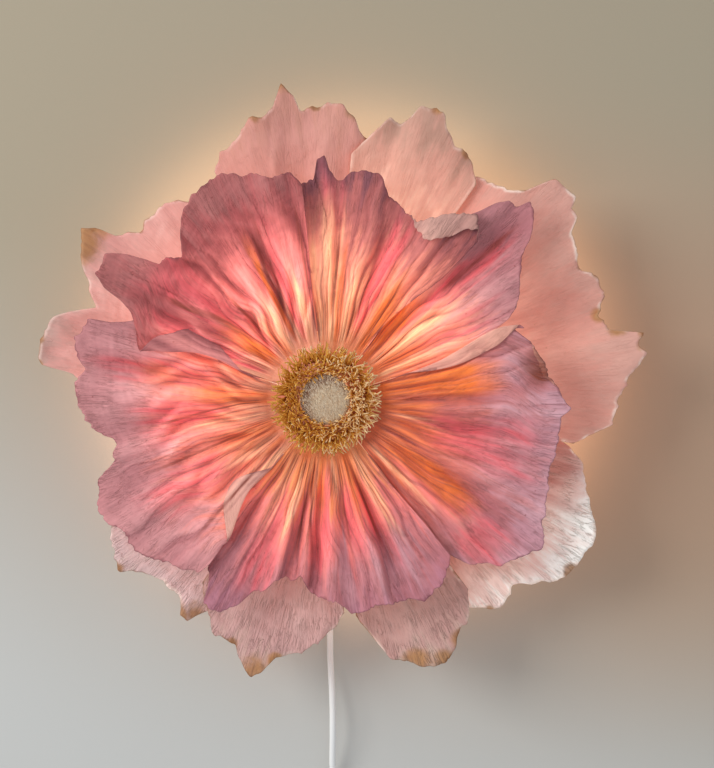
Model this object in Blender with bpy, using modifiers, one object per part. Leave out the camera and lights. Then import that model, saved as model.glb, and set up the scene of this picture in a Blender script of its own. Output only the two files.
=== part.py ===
# Giant paper flower that is a wall light: crepe paper petals round a hidden lamp, with its mains cord.
# Units are metres, Z is up. The wall is the plane Y = 0 and the flower faces -Y.
# The origin is the middle of the wall plate's back face.
# Petal outlines are polar points round the flower's axis, in degrees and millimetres.
import math
import random

import bmesh
import bpy
from mathutils import Vector

MM = 0.001
SEAT_GAP = 0.3 * MM            # between faces that touch on the real lamp

# Wall plate, a turned plywood disc
PLATE_RADIUS = 58 * MM
PLATE_THICK = 12 * MM
PLATE_EDGE = 2 * MM            # rounding of the front edge

# Keyhole hanger, let into the back of the wall plate
HANGER_WIDTH = 46 * MM
HANGER_HEIGHT = 20 * MM
HANGER_THICK = 1.5 * MM
HANGER_Y = 26 * MM             # height of its middle over the plate's middle
HANGER_SINK = 1.4 * MM         # from the plate's back face to the hanger's
HANGER_FIT = 0.4 * MM          # clearance round it in its pocket
HANGER_CORNER = 3 * MM
KEYHOLE_HEAD_RADIUS = 4.5 * MM
KEYHOLE_NECK_RADIUS = 2.25 * MM
KEYHOLE_TRAVEL = 7 * MM
RECESS_WIDTH = 22 * MM         # room behind the keyhole for the nail's head
RECESS_LEDGE = 1.5 * MM        # left over and under the recess for the hanger to lie on
RECESS_DEPTH = 8.5 * MM
SCREW_INSET = 5 * MM           # from the hanger's end to its screw
SCREW_HEAD_RADIUS = 2.8 * MM
SCREW_HEAD_THICK = 0.8 * MM
SCREW_RADIUS = 1.3 * MM
SCREW_LENGTH = 8 * MM
SCREW_HOLE_FIT = 0.35 * MM
SCREW_X = HANGER_WIDTH / 2 - SCREW_INSET

# Lamp
DIFFUSER_RADIUS = 38.5 * MM
DIFFUSER_WALL = 2 * MM
DIFFUSER_LENGTH = 40 * MM
DIFFUSER_EDGE = 4 * MM
PAN_FIT = 2.5 * MM             # round the pan, inside the diffuser
PAN_HEIGHT = 6 * MM
PAN_WALL = 1.5 * MM
BOARD_FIT = 0.5 * MM
BOARD_THICK = 1.6 * MM
LED_COUNT = 12
LED_INSET = 10 * MM            # from the board's edge to the ring of light chips
LED_SIZE = 3.5 * MM
LED_HEIGHT = 1 * MM

# Petal carrier
POST_COUNT = 3
POST_RADIUS = 3 * MM
POST_FIT = 1.5 * MM            # between a post and the diffuser
POST_RING = DIFFUSER_RADIUS + POST_FIT + POST_RADIUS
DISC_THICK = 3 * MM
DISC_CHAMFER = 0.75 * MM
DISC_AIR = 5.7 * MM            # between the diffuser's front and the disc
DISC_DEPTH = PLATE_THICK + SEAT_GAP + DIFFUSER_LENGTH + DISC_AIR   # from the wall to its back face
OUTER_TAB_LENGTH = 12 * MM     # the glued ends of the outer petals, on the disc's back
OUTER_TAB_FIT = 2 * MM         # between a post and the glued ends
DISC_RADIUS = POST_RING + POST_RADIUS + OUTER_TAB_FIT + OUTER_TAB_LENGTH
INNER_TAB_INSET = 10 * MM      # from the disc's rim to where the inner petals leave it

# Button in the middle, a padded felt disc
BUTTON_RADIUS = 21.8 * MM
BUTTON_FOOT_RADIUS = 21.2 * MM
BUTTON_EDGE_HEIGHT = 11 * MM
BUTTON_CROWN = 5 * MM          # how far the middle stands over the edge
BUTTON_FIT = 1.2 * MM          # between the button and the inner petals' glued ends

# Petals
PAPER = 0.7 * MM               # thickness of the stiffened crepe paper
TAB_GAP_DEG = 1.0              # between neighbouring petals where they are glued down
OVERLAP_LIFT_DEG = 18.0        # width of the raised or lowered margin along a petal's side
GATHER_DEG = 7.5               # pitch of the gathers
FRONT = 1                      # the side lies over its neighbour
BEHIND = -1                    # the side lies under its neighbour
FREE = 0                       # the side meets no neighbour

# Where the paper's forms rise and fade, in millimetres and degrees
LIFT_RUN = (2, 30)             # past the tab, where a side's margin lifts or drops
DIP_RUN = 50                   # past the tab, over which the outer petals lean back
FADE_DEG = (1, 12)             # from a side, where gathers and folds come in
FOLD_RISE = 35
FOLD_FALL = 40
FOLD_AT_RIM = 0.4              # share of a fold that is left at its end
GATHER_AT_RIM = 0.2

INNER = {
    "tab_start": (BUTTON_RADIUS + BUTTON_FIT) / MM,   # from the axis
    "tab_end": (DISC_RADIUS - INNER_TAB_INSET) / MM,
    "cup": 41,                 # how far the rim comes forward
    "cup_power": 0.75,
    "dip": 0,
    "reach": 200,
    "swing": (0.08, 0.75),     # share of the free length where the sides leave the glued sector
    "lift": 6.0,
    "gather": 3.2,
    "gather_zone": (48, 78, 120, 195),
    "waves": ((3, 3.5, 0.6), (5, 3.5, 2.1), (9, 3.0, 4.0), (14, 2.5, 1.1)),
    "wave_zone": (90, 190),
    "column_deg": 2.55,
    "rows": (0, 0.12, 0.26, 0.42, 0.60, 0.80, 1),   # shares of the free length
}
OUTER = {
    "tab_start": (DISC_RADIUS - OUTER_TAB_LENGTH) / MM,
    "tab_end": DISC_RADIUS / MM,
    "cup": 19,
    "cup_power": 1.9,
    "dip": 3.5,
    "reach": 270,
    "swing": (0.08, 0.75),
    "lift": 4.0,
    "gather": 1.8,
    "gather_zone": (62, 100, 140, 230),
    "waves": ((4, 3.0, 0.3), (7, 3.5, 2.6), (11, 3.5, 0.9), (19, 2.5, 5.0)),
    "wave_zone": (110, 240),
    "column_deg": 3.1,
    "rows": (0, 0.24, 0.48, 0.74, 1),
}

# Each petal: the sector that is glued down, how its right and left side lie, its folds and its rim.
# A fold is (degrees, height, half width in degrees, start, end), in millimetres, a valley below zero.
INNER_PETALS = {
    "inner_petal_1": {
        "sector": (97, 162),
        "sides": (FRONT, FRONT),
        "folds": ((104, 4, 3, 55, 190), (113.5, -6, 3, 55, 170), (121, 4, 4, 60, 175),
                  (133, -5, 4, 60, 160), (143, 4, 4, 60, 215), (151, -5, 3, 60, 190)),
        "rim": ((96, 182), (99, 195), (104, 194), (107, 200), (111, 203), (114, 210), (119, 207),
                (123, 207), (128, 195), (132, 182), (134, 171), (141, 181), (143, 203), (146, 218),
                (149, 221), (151, 219), (153, 208), (154, 180), (157, 172), (162, 155), (164, 135),
                (166, 121)),
    },
    "inner_petal_2": {
        "sector": (52, 97),
        "sides": (FRONT, BEHIND),
        "folds": ((60, 4, 3, 60, 175), (70, -5, 3, 55, 160), (78, 6, 3, 55, 180),
                  (85, -7, 3, 55, 185), (90, 5, 2.5, 90, 208)),
        "rim": ((46, 185), (51, 203), (55, 190), (60, 176), (64, 169), (69, 176), (73, 184),
                (76, 194), (81, 197), (84, 192), (87, 188), (89, 193), (90, 208), (92, 206),
                (93, 187), (97, 182)),
    },
    "inner_petal_3": {
        "sector": (18, 52),
        "sides": (BEHIND, BEHIND),
        "folds": ((24, 3, 4, 60, 150), (34, 4, 4, 60, 190), (42.5, -8, 3.5, 55, 240),
                  (49, 4, 3, 60, 200)),
        "rim": ((12, 118), (18, 130), (21, 144), (24, 171), (27, 183), (33, 194), (36, 203),
                (38, 220), (42, 239), (44, 244), (45, 231), (47, 230), (49, 219), (51, 204),
                (55, 182), (58, 165)),
    },
    "inner_petal_4": {
        "sector": (-52, 18),
        "sides": (BEHIND, FRONT),
        "folds": ((11, 5, 3, 55, 170), (6, -5, 3, 55, 150), (-3, 3, 4, 60, 190), (-14, -5, 3, 55, 185),
                  (-24, 4, 4, 60, 190), (-32, -4, 3, 60, 180), (-41, 4, 3, 55, 200)),
        "rim": ((-53, 160), (-51, 172), (-49, 185), (-45, 195), (-44, 203), (-40, 209), (-37, 214),
                (-34, 221), (-28, 211), (-24, 203), (-15, 199), (-4, 199), (-2, 207), (2, 198),
                (7, 188), (15, 180), (17, 170), (19, 180), (20, 172)),
    },
    "inner_petal_5": {
        "sector": (-128, -52),
        "sides": (BEHIND, FRONT),
        "folds": ((-60, 4, 3, 55, 180), (-67, -6, 3, 55, 170), (-75, 5, 3, 55, 175),
                  (-81, -6, 2.5, 55, 180), (-86.5, 7, 2.5, 60, 170), (-93, -7, 3, 55, 165),
                  (-101, 6, 3, 55, 155), (-109, -5, 3, 60, 165), (-118, 4, 3.5, 60, 190)),
        "rim": ((-131, 149), (-126, 165), (-122, 183), (-121, 197), (-119, 202), (-116, 202),
                (-114, 191), (-110, 171), (-103, 155), (-98, 153), (-94, 163), (-87, 170),
                (-83, 181), (-70, 181), (-64, 189), (-60, 186), (-55, 179), (-51, 168)),
    },
    "inner_petal_6": {
        "sector": (162, 232),
        "sides": (BEHIND, FRONT),
        "folds": ((171, -4, 3, 60, 200), (179, 4, 4, 60, 200), (189, -4, 3, 60, 185),
                  (196, 4, 3, 60, 180), (203, -6, 3, 60, 195), (212, 4, 4, 60, 200),
                  (221, -4, 3, 60, 180)),
        "rim": ((156, 170), (158, 178), (160, 190), (161, 212), (166, 218), (168, 216), (172, 206),
                (176, 211), (180, 208), (185, 201), (188, 196), (190, 183), (196, 184), (199, 200),
                (206, 212), (210, 211), (213, 201), (218, 203), (221, 201), (226, 190), (231, 185),
                (234, 181), (235, 168)),
    },
}
OUTER_PETALS = {
    "outer_petal_1": {
        "sector": (79.5, 118),
        "sides": (BEHIND, FREE),
        "folds": ((90, 4, 4, 100, 250), (99, -4, 4, 120, 270), (108, 4, 4, 110, 240)),
        "rim": ((74, 205), (78, 222), (80, 226), (83, 233), (84, 244), (87, 256), (92, 253),
                (95, 251), (96, 262), (98, 276), (100, 256), (102, 251), (105, 248), (108, 240),
                (113, 232), (116, 218)),
    },
    "outer_petal_2": {
        "sector": (58, 79.5),
        "sides": (FRONT, FRONT),
        "folds": ((64, -3, 3, 110, 250), (72, 4, 3, 110, 262)),
        "rim": ((55, 228), (58, 242), (61, 246), (63, 246), (66, 256), (67, 262), (69, 268),
                (72, 265), (73, 256), (75, 246), (77, 250), (79, 238), (81, 228), (84, 212)),
    },
    "outer_petal_3": {
        "sector": (-7, 58),
        "sides": (FRONT, BEHIND),
        "folds": ((3, -4, 4, 110, 260), (12, 4, 3, 110, 275), (22, -4, 4, 110, 255),
                  (32, 4, 4, 110, 255), (40, -5, 4, 130, 275), (48, 4, 3, 110, 240)),
        "rim": ((-10, 218), (-5, 245), (1, 253), (5, 264), (8, 278), (10, 274), (12, 281),
                (13, 264), (14, 252), (17, 247), (20, 256), (24, 258), (27, 248), (29, 246),
                (34, 255), (36, 268), (38, 266), (39, 277), (42, 276), (44, 272), (46, 252),
                (49, 239), (56, 235), (61, 215)),
    },
    "outer_petal_4": {
        "sector": (-57, -7),
        "sides": (BEHIND, BEHIND),
        "folds": ((-18, -3, 4, 110, 235), (-27, 4, 4, 110, 260), (-36, -4, 3, 110, 255),
                  (-45, 5, 3, 110, 230)),
        "rim": ((-62, 200), (-55, 219), (-52, 230), (-50, 234), (-47, 232), (-45, 228), (-43, 235),
                (-40, 244), (-38, 256), (-35, 259), (-27, 261), (-24, 253), (-18, 238),
                (-14, 228), (-9, 204), (-4, 190)),
    },
    "outer_petal_5": {
        "sector": (-82, -57),
        "sides": (FREE, FRONT),
        "folds": ((-68, 4, 3, 110, 245),),
        "rim": ((-82, 188), (-79, 209), (-76, 228), (-72, 238), (-68, 244), (-65, 249), (-61, 234),
                (-58, 229), (-56, 221), (-53, 205)),
    },
    "outer_petal_6": {
        "sector": (-119, -84.5),
        "sides": (FRONT, FREE),
        "folds": ((-95, 4, 3.5, 110, 225), (-105, -4, 3, 120, 248), (-112, 3, 3, 110, 225)),
        "rim": ((-124, 190), (-120, 206), (-118, 213), (-116, 225), (-110, 227), (-109, 234),
                (-107, 241), (-105, 248), (-103, 239), (-101, 226), (-96, 221), (-91, 208),
                (-87, 197), (-85, 184)),
    },
    "outer_petal_7": {
        "sector": (-150, -119),
        "sides": (FREE, BEHIND),
        "folds": ((-128, -3, 3, 110, 210), (-137, 4, 4, 110, 225)),
        "rim": ((-152, 205), (-148, 220), (-143, 229), (-140, 232), (-137, 220), (-132, 210),
                (-127, 211), (-125, 218), (-124, 225), (-122, 224), (-121, 215), (-119, 209),
                (-114, 195)),
    },
    "outer_petal_8": {
        "sector": (125, 176),
        "sides": (FREE, FREE),
        "folds": ((133, 4, 4, 110, 220), (144, -5, 3, 110, 257), (153, 4, 3, 110, 235),
                  (165, -4, 4, 110, 250)),
        "rim": ((124, 208), (129, 219), (133, 218), (138, 217), (142, 229), (143, 246), (145, 257),
                (149, 246), (152, 235), (155, 226), (157, 216), (158, 214), (160, 229), (163, 244),
                (168, 253), (173, 250), (174, 223), (177, 205)),
    },
}

# Stamens: rolled strips of paper with a cut fringe, one round the other
STAMEN_BAND = 0.9 * MM         # thickness of a rolled strip
STAMEN_BAND_HEIGHT = 7 * MM
STAMEN_FIT = 3.4 * MM          # from the button to the middle of the first strip
STAMEN_PITCH = 5.4 * MM        # from strip to strip
STAMEN_TAPER = 0.75            # a finger's tip against its foot
STAMEN_SPLAY_DRAW = 7          # degrees either way from finger to finger
STAMEN_SHORTEST = 0.8
STAMEN_STRIPS = {
    "stamen_fringe_inner": {"count": 28, "length": 13 * MM, "splay": 8},
    "stamen_fringe_middle": {"count": 31, "length": 13 * MM, "splay": 27},
    "stamen_fringe_outer": {"count": 34, "length": 14 * MM, "splay": 52},
}

# Mains cord, with its gland, coil, tie and flat two-pin plug
CORD_RADIUS = 2.8 * MM
CORD_X = 3 * MM
CORD_STEP = 13 * MM
GLAND_DEPTH = 6.5 * MM         # from the wall to the cord's axis in the gland
GLAND_LENGTH = 28 * MM
GLAND_RADIUS = 5.4 * MM
GLAND_NECK_RADIUS = 4.8 * MM
GLAND_TIP_RADIUS = 3.9 * MM
GLAND_GROOVE = 0.4 * MM
GLAND_COLLAR = 5 * MM
GLAND_RIB = 1.7 * MM
GLAND_RIBS = 4
CORD_ROUTE = (                 # x, height, distance from the wall, in millimetres
    (3, -100, 6.5),
    (3, -130, 6.5),
    (3, -165, 6.6),
    (3, -200, 7),
    (3.2, -226, 8.5),
    (4.2, -248, 13),
    (5.2, -268, 17.5),
    (5.6, -288, 19),
    (5.5, -306, 16.5),
    (5.3, -322, 12.8),
    (5.2, -335, 10.8),
)
COIL_X = 5.2 * MM
COIL_HEIGHT = -386 * MM
COIL_DEPTH = 10.6 * MM         # from the wall to the coil's middle
COIL_TURNS_ACROSS = 3
COIL_MEAN_RADIUS = 31 * MM
TIE_THICK = 1 * MM
TIE_WIDTH = 8 * MM
TIE_FIT = 0.7 * MM             # the turns curve away inside the straight tie
PLUG_LENGTH = 35 * MM
PLUG_WIDTH = 25 * MM
PLUG_THICK = 13.6 * MM
PLUG_NECK = 9 * MM             # width where the cord goes in
PLUG_NECK_LENGTH = 11 * MM
PLUG_SHOULDER = 19 * MM        # from there to the full width
PLUG_DROP = 34 * MM            # from the coil's middle to the top of the plug
PLUG_EDGE = 1.5 * MM
PIN_RADIUS = 2 * MM
PIN_LENGTH = 19 * MM
PIN_SPACING = 18.6 * MM

ROUNDING = 0.3                 # where the middle point of a rounded edge lies, as a share of it
ROUND_STEPS = 36
SMALL_STEPS = 16
BUTTON_STEPS = 32
COIL_STEPS = 32

# Colours: red, green, blue, roughness, metallic
PLYWOOD = (0.62, 0.44, 0.26, 0.7, 0.0)
ZINC_STEEL = (0.62, 0.62, 0.60, 0.35, 1.0)
ALUMINIUM = (0.78, 0.79, 0.80, 0.35, 1.0)
CIRCUIT_WHITE = (0.86, 0.86, 0.83, 0.5, 0.0)
OPAL = (0.93, 0.90, 0.84, 0.35, 0.0)
MAUVE_PAPER = (0.68, 0.30, 0.34, 0.85, 0.0)
BLUSH_PAPER = (0.80, 0.50, 0.44, 0.85, 0.0)
OCHRE_PAPER = (0.62, 0.38, 0.10, 0.85, 0.0)
FELT = (0.62, 0.50, 0.34, 0.95, 0.0)
CORD_WHITE = (0.83, 0.83, 0.82, 0.45, 0.0)
NICKEL = (0.72, 0.70, 0.66, 0.3, 1.0)


def reset_scene():
    """Empties the scene and makes the two collections and the empty that carries the flower."""
    for old in list(bpy.data.objects):
        bpy.data.objects.remove(old, do_unlink=True)
    collections = {}
    for name in ("paper_flower_wall_light", "cutters"):
        collections[name] = bpy.data.collections.new(name)
        bpy.context.scene.collection.children.link(collections[name])
    stem = bpy.data.objects.new("flower_axis", None)
    stem.rotation_euler = (math.radians(90), 0, 0)
    collections["paper_flower_wall_light"].objects.link(stem)
    return collections["paper_flower_wall_light"], collections["cutters"], stem


PARTS, CUTTERS, STEM = reset_scene()


def material(name, look):
    red, green, blue, roughness, metallic = look
    made = bpy.data.materials.new(name)
    made.use_nodes = True
    shader = made.node_tree.nodes["Principled BSDF"]
    shader.inputs["Base Color"].default_value = (red, green, blue, 1)
    shader.inputs["Roughness"].default_value = roughness
    shader.inputs["Metallic"].default_value = metallic
    return made


def place(name, data, look, location=(0, 0, 0), rotation=(0, 0, 0)):
    """Adds a part on the flower's axis: local x is right, y is up, z is the distance from the wall."""
    part = bpy.data.objects.new(name, data)
    part.location = location
    part.rotation_euler = rotation
    part.parent = STEM
    part.data.materials.append(material(name, look))
    PARTS.objects.link(part)
    return part


def place_cutter(name, data, location=(0, 0, 0)):
    cutter = bpy.data.objects.new(name, data)
    cutter.location = location
    cutter.parent = STEM
    cutter.hide_render = True
    cutter.display_type = "WIRE"
    CUTTERS.objects.link(cutter)
    return cutter


def mesh_from(name, bm):
    mesh = bpy.data.meshes.new(name)
    bm.to_mesh(mesh)
    bm.free()
    return mesh


def smooth_faces(part, angle=35):
    part.data.shade_smooth()
    part.data.set_sharp_from_angle(angle=math.radians(angle))


def turned(name, profile, look, steps=ROUND_STEPS, closed=False, location=(0, 0, 0), rotation=(0, 0, 0)):
    """Turns (radius, height) points round the part's own Z axis, from the top down the outer side."""
    mesh = bpy.data.meshes.new(name)
    points = [(radius, 0, height) for radius, height in profile]
    links = [(i, i + 1) for i in range(len(points) - 1)]
    if closed:
        links.append((len(points) - 1, 0))
    mesh.from_pydata(points, links, [])
    part = place(name, mesh, look, location, rotation)
    screw = part.modifiers.new("turn", "SCREW")
    screw.steps = steps
    screw.render_steps = steps
    screw.use_merge_vertices = True
    screw.merge_threshold = 0.00001
    return part


def cut(part, cutter):
    boolean = part.modifiers.new(cutter.name, "BOOLEAN")
    boolean.operation = "DIFFERENCE"
    boolean.solver = "EXACT"
    boolean.object = cutter


def box_mesh(name, width, height, depth):
    bm = bmesh.new()
    bmesh.ops.create_cube(bm, size=1)
    bmesh.ops.scale(bm, vec=(width, height, depth), verts=bm.verts)
    return mesh_from(name, bm)


def rod_mesh(name, radius, length, steps=SMALL_STEPS):
    bm = bmesh.new()
    bmesh.ops.create_cone(bm, cap_ends=True, segments=steps, radius1=radius, radius2=radius, depth=length)
    return mesh_from(name, bm)


def outline_curve(name, outlines, thickness):
    """A flat outline, holes included, given thickness along its own Z."""
    curve = bpy.data.curves.new(name, "CURVE")
    curve.dimensions = "2D"
    curve.fill_mode = "BOTH"
    curve.extrude = thickness / 2
    for points in outlines:
        spline = curve.splines.new("POLY")
        spline.points.add(len(points) - 1)
        for point, (x, y) in zip(spline.points, points):
            point.co = (x, y, 0, 1)
        spline.use_cyclic_u = True
    return curve


def arc(centre_x, centre_y, radius, start, end, steps):
    """Points on an arc, with both ends, angles in degrees."""
    points = []
    for i in range(steps + 1):
        angle = math.radians(start + (end - start) * i / steps)
        points.append((centre_x + radius * math.cos(angle), centre_y + radius * math.sin(angle)))
    return points


def rounded_box(width, height, radius, steps=3):
    x = width / 2 - radius
    y = height / 2 - radius
    return (arc(x, y, radius, 0, 90, steps) + arc(-x, y, radius, 90, 180, steps)
            + arc(-x, -y, radius, 180, 270, steps) + arc(x, -y, radius, 270, 360, steps))


def smooth(value, low, high):
    share = min(max((value - low) / (high - low), 0), 1)
    return share * share * (3 - 2 * share)


def mix(first, second, share):
    return first + (second - first) * share


# Wall plate and hanger

def make_wall_plate():
    plate = turned("wall_plate", (
        (0, PLATE_THICK),
        (PLATE_RADIUS - PLATE_EDGE, PLATE_THICK),
        (PLATE_RADIUS - ROUNDING * PLATE_EDGE, PLATE_THICK - ROUNDING * PLATE_EDGE),
        (PLATE_RADIUS, PLATE_THICK - PLATE_EDGE),
        (PLATE_RADIUS, 0),
        (0, 0),
    ), PLYWOOD)
    pocket_depth = HANGER_SINK + HANGER_THICK + SEAT_GAP
    pocket = box_mesh("hanger_pocket", HANGER_WIDTH + 2 * HANGER_FIT, HANGER_HEIGHT + 2 * HANGER_FIT,
                      2 * pocket_depth)
    cut(plate, place_cutter("hanger_pocket", pocket, (0, HANGER_Y, 0)))
    recess = box_mesh("nail_recess", RECESS_WIDTH, HANGER_HEIGHT - 2 * RECESS_LEDGE, 2 * RECESS_DEPTH)
    cut(plate, place_cutter("nail_recess", recess, (0, HANGER_Y, 0)))
    hole_depth = HANGER_SINK + SCREW_LENGTH + SEAT_GAP
    for side, name in ((-1, "left"), (1, "right")):
        hole = rod_mesh("screw_hole_" + name, SCREW_RADIUS + SCREW_HOLE_FIT, 2 * hole_depth)
        cut(plate, place_cutter("screw_hole_" + name, hole, (side * SCREW_X, HANGER_Y, 0)))


def make_hanger():
    """A steel plate whose keyhole takes a nail's head below and holds its neck above."""
    half = KEYHOLE_TRAVEL / 2
    neck_angle = math.degrees(math.asin(KEYHOLE_NECK_RADIUS / KEYHOLE_HEAD_RADIUS))
    keyhole = (arc(0, half, KEYHOLE_NECK_RADIUS, 0, 180, 6)
               + arc(0, -half, KEYHOLE_HEAD_RADIUS, 90 + neck_angle, 450 - neck_angle, 14))
    outlines = [rounded_box(HANGER_WIDTH, HANGER_HEIGHT, HANGER_CORNER), keyhole]
    for side in (-1, 1):
        hole = arc(side * SCREW_X, 0, SCREW_RADIUS + SCREW_HOLE_FIT, 0, 360, 12)
        outlines.append(hole[:-1])
    hanger_depth = HANGER_SINK + HANGER_THICK / 2
    place("keyhole_hanger", outline_curve("keyhole_hanger", outlines, HANGER_THICK), ZINC_STEEL,
          (0, HANGER_Y, hanger_depth))
    head_back = HANGER_SINK - SEAT_GAP - SCREW_HEAD_THICK
    for side, name in ((-1, "left"), (1, "right")):
        turned("hanger_screw_" + name, (
            (0, SCREW_LENGTH),
            (SCREW_RADIUS * 0.3, SCREW_LENGTH),
            (SCREW_RADIUS, SCREW_LENGTH - 2 * SCREW_RADIUS),
            (SCREW_RADIUS, SCREW_HEAD_THICK),
            (SCREW_HEAD_RADIUS, SCREW_HEAD_THICK),
            (SCREW_HEAD_RADIUS * 0.8, 0),
            (0, 0),
        ), ZINC_STEEL, SMALL_STEPS, location=(side * SCREW_X, HANGER_Y, head_back))


# Lamp

def make_lamp():
    base = PLATE_THICK + SEAT_GAP
    pan_radius = DIFFUSER_RADIUS - DIFFUSER_WALL - PAN_FIT
    turned("led_pan", (
        (0, PAN_WALL),
        (pan_radius - PAN_WALL, PAN_WALL),
        (pan_radius - PAN_WALL, PAN_HEIGHT),
        (pan_radius, PAN_HEIGHT),
        (pan_radius, 0),
        (0, 0),
    ), ALUMINIUM, location=(0, 0, base))
    board_radius = pan_radius - PAN_WALL - BOARD_FIT
    led_ring = board_radius - LED_INSET
    board = turned("led_board", (
        (0, BOARD_THICK),
        (board_radius, BOARD_THICK),
        (board_radius, 0),
        (0, 0),
    ), CIRCUIT_WHITE, location=(0, 0, base + PAN_WALL + SEAT_GAP))
    leds = bmesh.new()
    for i in range(LED_COUNT):
        angle = 2 * math.pi * i / LED_COUNT
        made = bmesh.ops.create_cube(leds, size=1)["verts"]
        bmesh.ops.scale(leds, vec=(LED_SIZE, LED_SIZE, 2 * LED_HEIGHT), verts=made)
        bmesh.ops.translate(leds, verts=made, vec=(
            led_ring * math.cos(angle), led_ring * math.sin(angle), BOARD_THICK))
    chips = place_cutter("led_chips", mesh_from("led_chips", leds), (0, 0, base + PAN_WALL + SEAT_GAP))
    join = board.modifiers.new("led_chips", "BOOLEAN")
    join.operation = "UNION"
    join.solver = "EXACT"
    join.object = chips
    front = DIFFUSER_LENGTH
    inner = DIFFUSER_RADIUS - DIFFUSER_WALL
    diffuser = turned("diffuser", (
        (0, front),
        (DIFFUSER_RADIUS - DIFFUSER_EDGE, front),
        (DIFFUSER_RADIUS - ROUNDING * DIFFUSER_EDGE, front - ROUNDING * DIFFUSER_EDGE),
        (DIFFUSER_RADIUS, front - DIFFUSER_EDGE),
        (DIFFUSER_RADIUS, 0),
        (inner, 0),
        (inner, front - DIFFUSER_EDGE),
        (inner - DIFFUSER_EDGE + DIFFUSER_WALL, front - DIFFUSER_WALL),
        (0, front - DIFFUSER_WALL),
    ), OPAL, location=(0, 0, base))
    smooth_faces(diffuser)


# Petal carrier

def make_carrier():
    turned("front_disc", (
        (0, DISC_THICK),
        (DISC_RADIUS - DISC_CHAMFER, DISC_THICK),
        (DISC_RADIUS, DISC_THICK - DISC_CHAMFER),
        (DISC_RADIUS, DISC_CHAMFER),
        (DISC_RADIUS - DISC_CHAMFER, 0),
        (0, 0),
    ), OPAL, location=(0, 0, DISC_DEPTH))
    foot = PLATE_THICK + SEAT_GAP
    length = DISC_DEPTH - SEAT_GAP - foot
    for i in range(POST_COUNT):
        name = "standoff_post_%d" % (i + 1)
        angle = math.radians(90 + 360 * i / POST_COUNT)
        middle = (POST_RING * math.cos(angle), POST_RING * math.sin(angle), foot + length / 2)
        place(name, rod_mesh(name, POST_RADIUS, length), ALUMINIUM, middle)


# Petals

def rim_stations(petal, column_deg):
    """Columns across a petal as (share across, rim degrees, rim radius), with its tips kept sharp."""
    rim = petal["rim"]
    right, left = rim[0][0], rim[-1][0]
    count = round((left - right) / column_deg)
    places = [i / count for i in range(count + 1)]
    for before, tip, after in zip(rim, rim[1:], rim[2:]):
        if tip[1] > before[1] and tip[1] > after[1]:
            share = (tip[0] - right) / (left - right)
            nearest = min(max(round(share * count), 1), count - 1)
            places[nearest] = share
    stations = []
    for share in places:
        degrees = mix(right, left, share)
        for (from_deg, from_radius), (to_deg, to_radius) in zip(rim, rim[1:]):
            if degrees <= to_deg:
                break
        along = (degrees - from_deg) / (to_deg - from_deg)
        stations.append((share, degrees, mix(from_radius, to_radius, along)))
    return stations


def gathers(petal, whorl, seed):
    """Heights of the small ridges and valleys that a petal's glued end is gathered into."""
    draw = random.Random(seed)
    right, left = petal["sector"]
    count = max(2, round((left - right) / GATHER_DEG))
    return [(-1) ** i * whorl["gather"] * draw.uniform(0.6, 1.1) for i in range(2 * count)]


def gather_height(heights, share):
    """A smooth wave through the gathers' heights, from one side of the petal to the other."""
    position = share * (len(heights) - 1)
    first = min(int(position), len(heights) - 2)
    return mix(heights[first], heights[first + 1], smooth(position - first, 0, 1))


def sheet_depth(whorl, petal, heights, degrees, radius, share, span):
    """How far the paper stands from its glued tab, in millimetres, at one place on the petal."""
    past_tab = max(radius - whorl["tab_end"], 0)
    run = whorl["reach"] - whorl["tab_end"]
    depth = whorl["cup"] * (past_tab / run) ** whorl["cup_power"]
    depth -= whorl["dip"] * smooth(past_tab, 0, DIP_RUN)
    wave_start, wave_end = whorl["wave_zone"]
    wave_share = smooth(radius, wave_start, wave_end)
    for count, height, phase in whorl["waves"]:
        depth += wave_share * height * math.sin(count * math.radians(degrees) + phase)
    from_right = share * span
    from_left = (1 - share) * span
    raised = smooth(past_tab, *LIFT_RUN) * whorl["lift"]
    for side, distance in zip(petal["sides"], (from_right, from_left)):
        depth += side * raised * (1 - smooth(distance, 0, OVERLAP_LIFT_DEG))
    inside = smooth(from_right, *FADE_DEG) * smooth(from_left, *FADE_DEG)
    rise_start, rise_end, fall_start, fall_end = whorl["gather_zone"]
    gathered = smooth(radius, rise_start, rise_end)
    gathered *= mix(1, GATHER_AT_RIM, smooth(radius, fall_start, fall_end))
    depth += inside * gathered * gather_height(heights, share)
    for fold_deg, height, half_width, start, end in petal["folds"]:
        ramp = smooth(radius, start, start + FOLD_RISE)
        ramp *= mix(1, FOLD_AT_RIM, smooth(radius, end - FOLD_FALL, end))
        spread = (degrees - fold_deg) / half_width
        depth += inside * ramp * height * math.exp(-spread * spread)
    return depth


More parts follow.
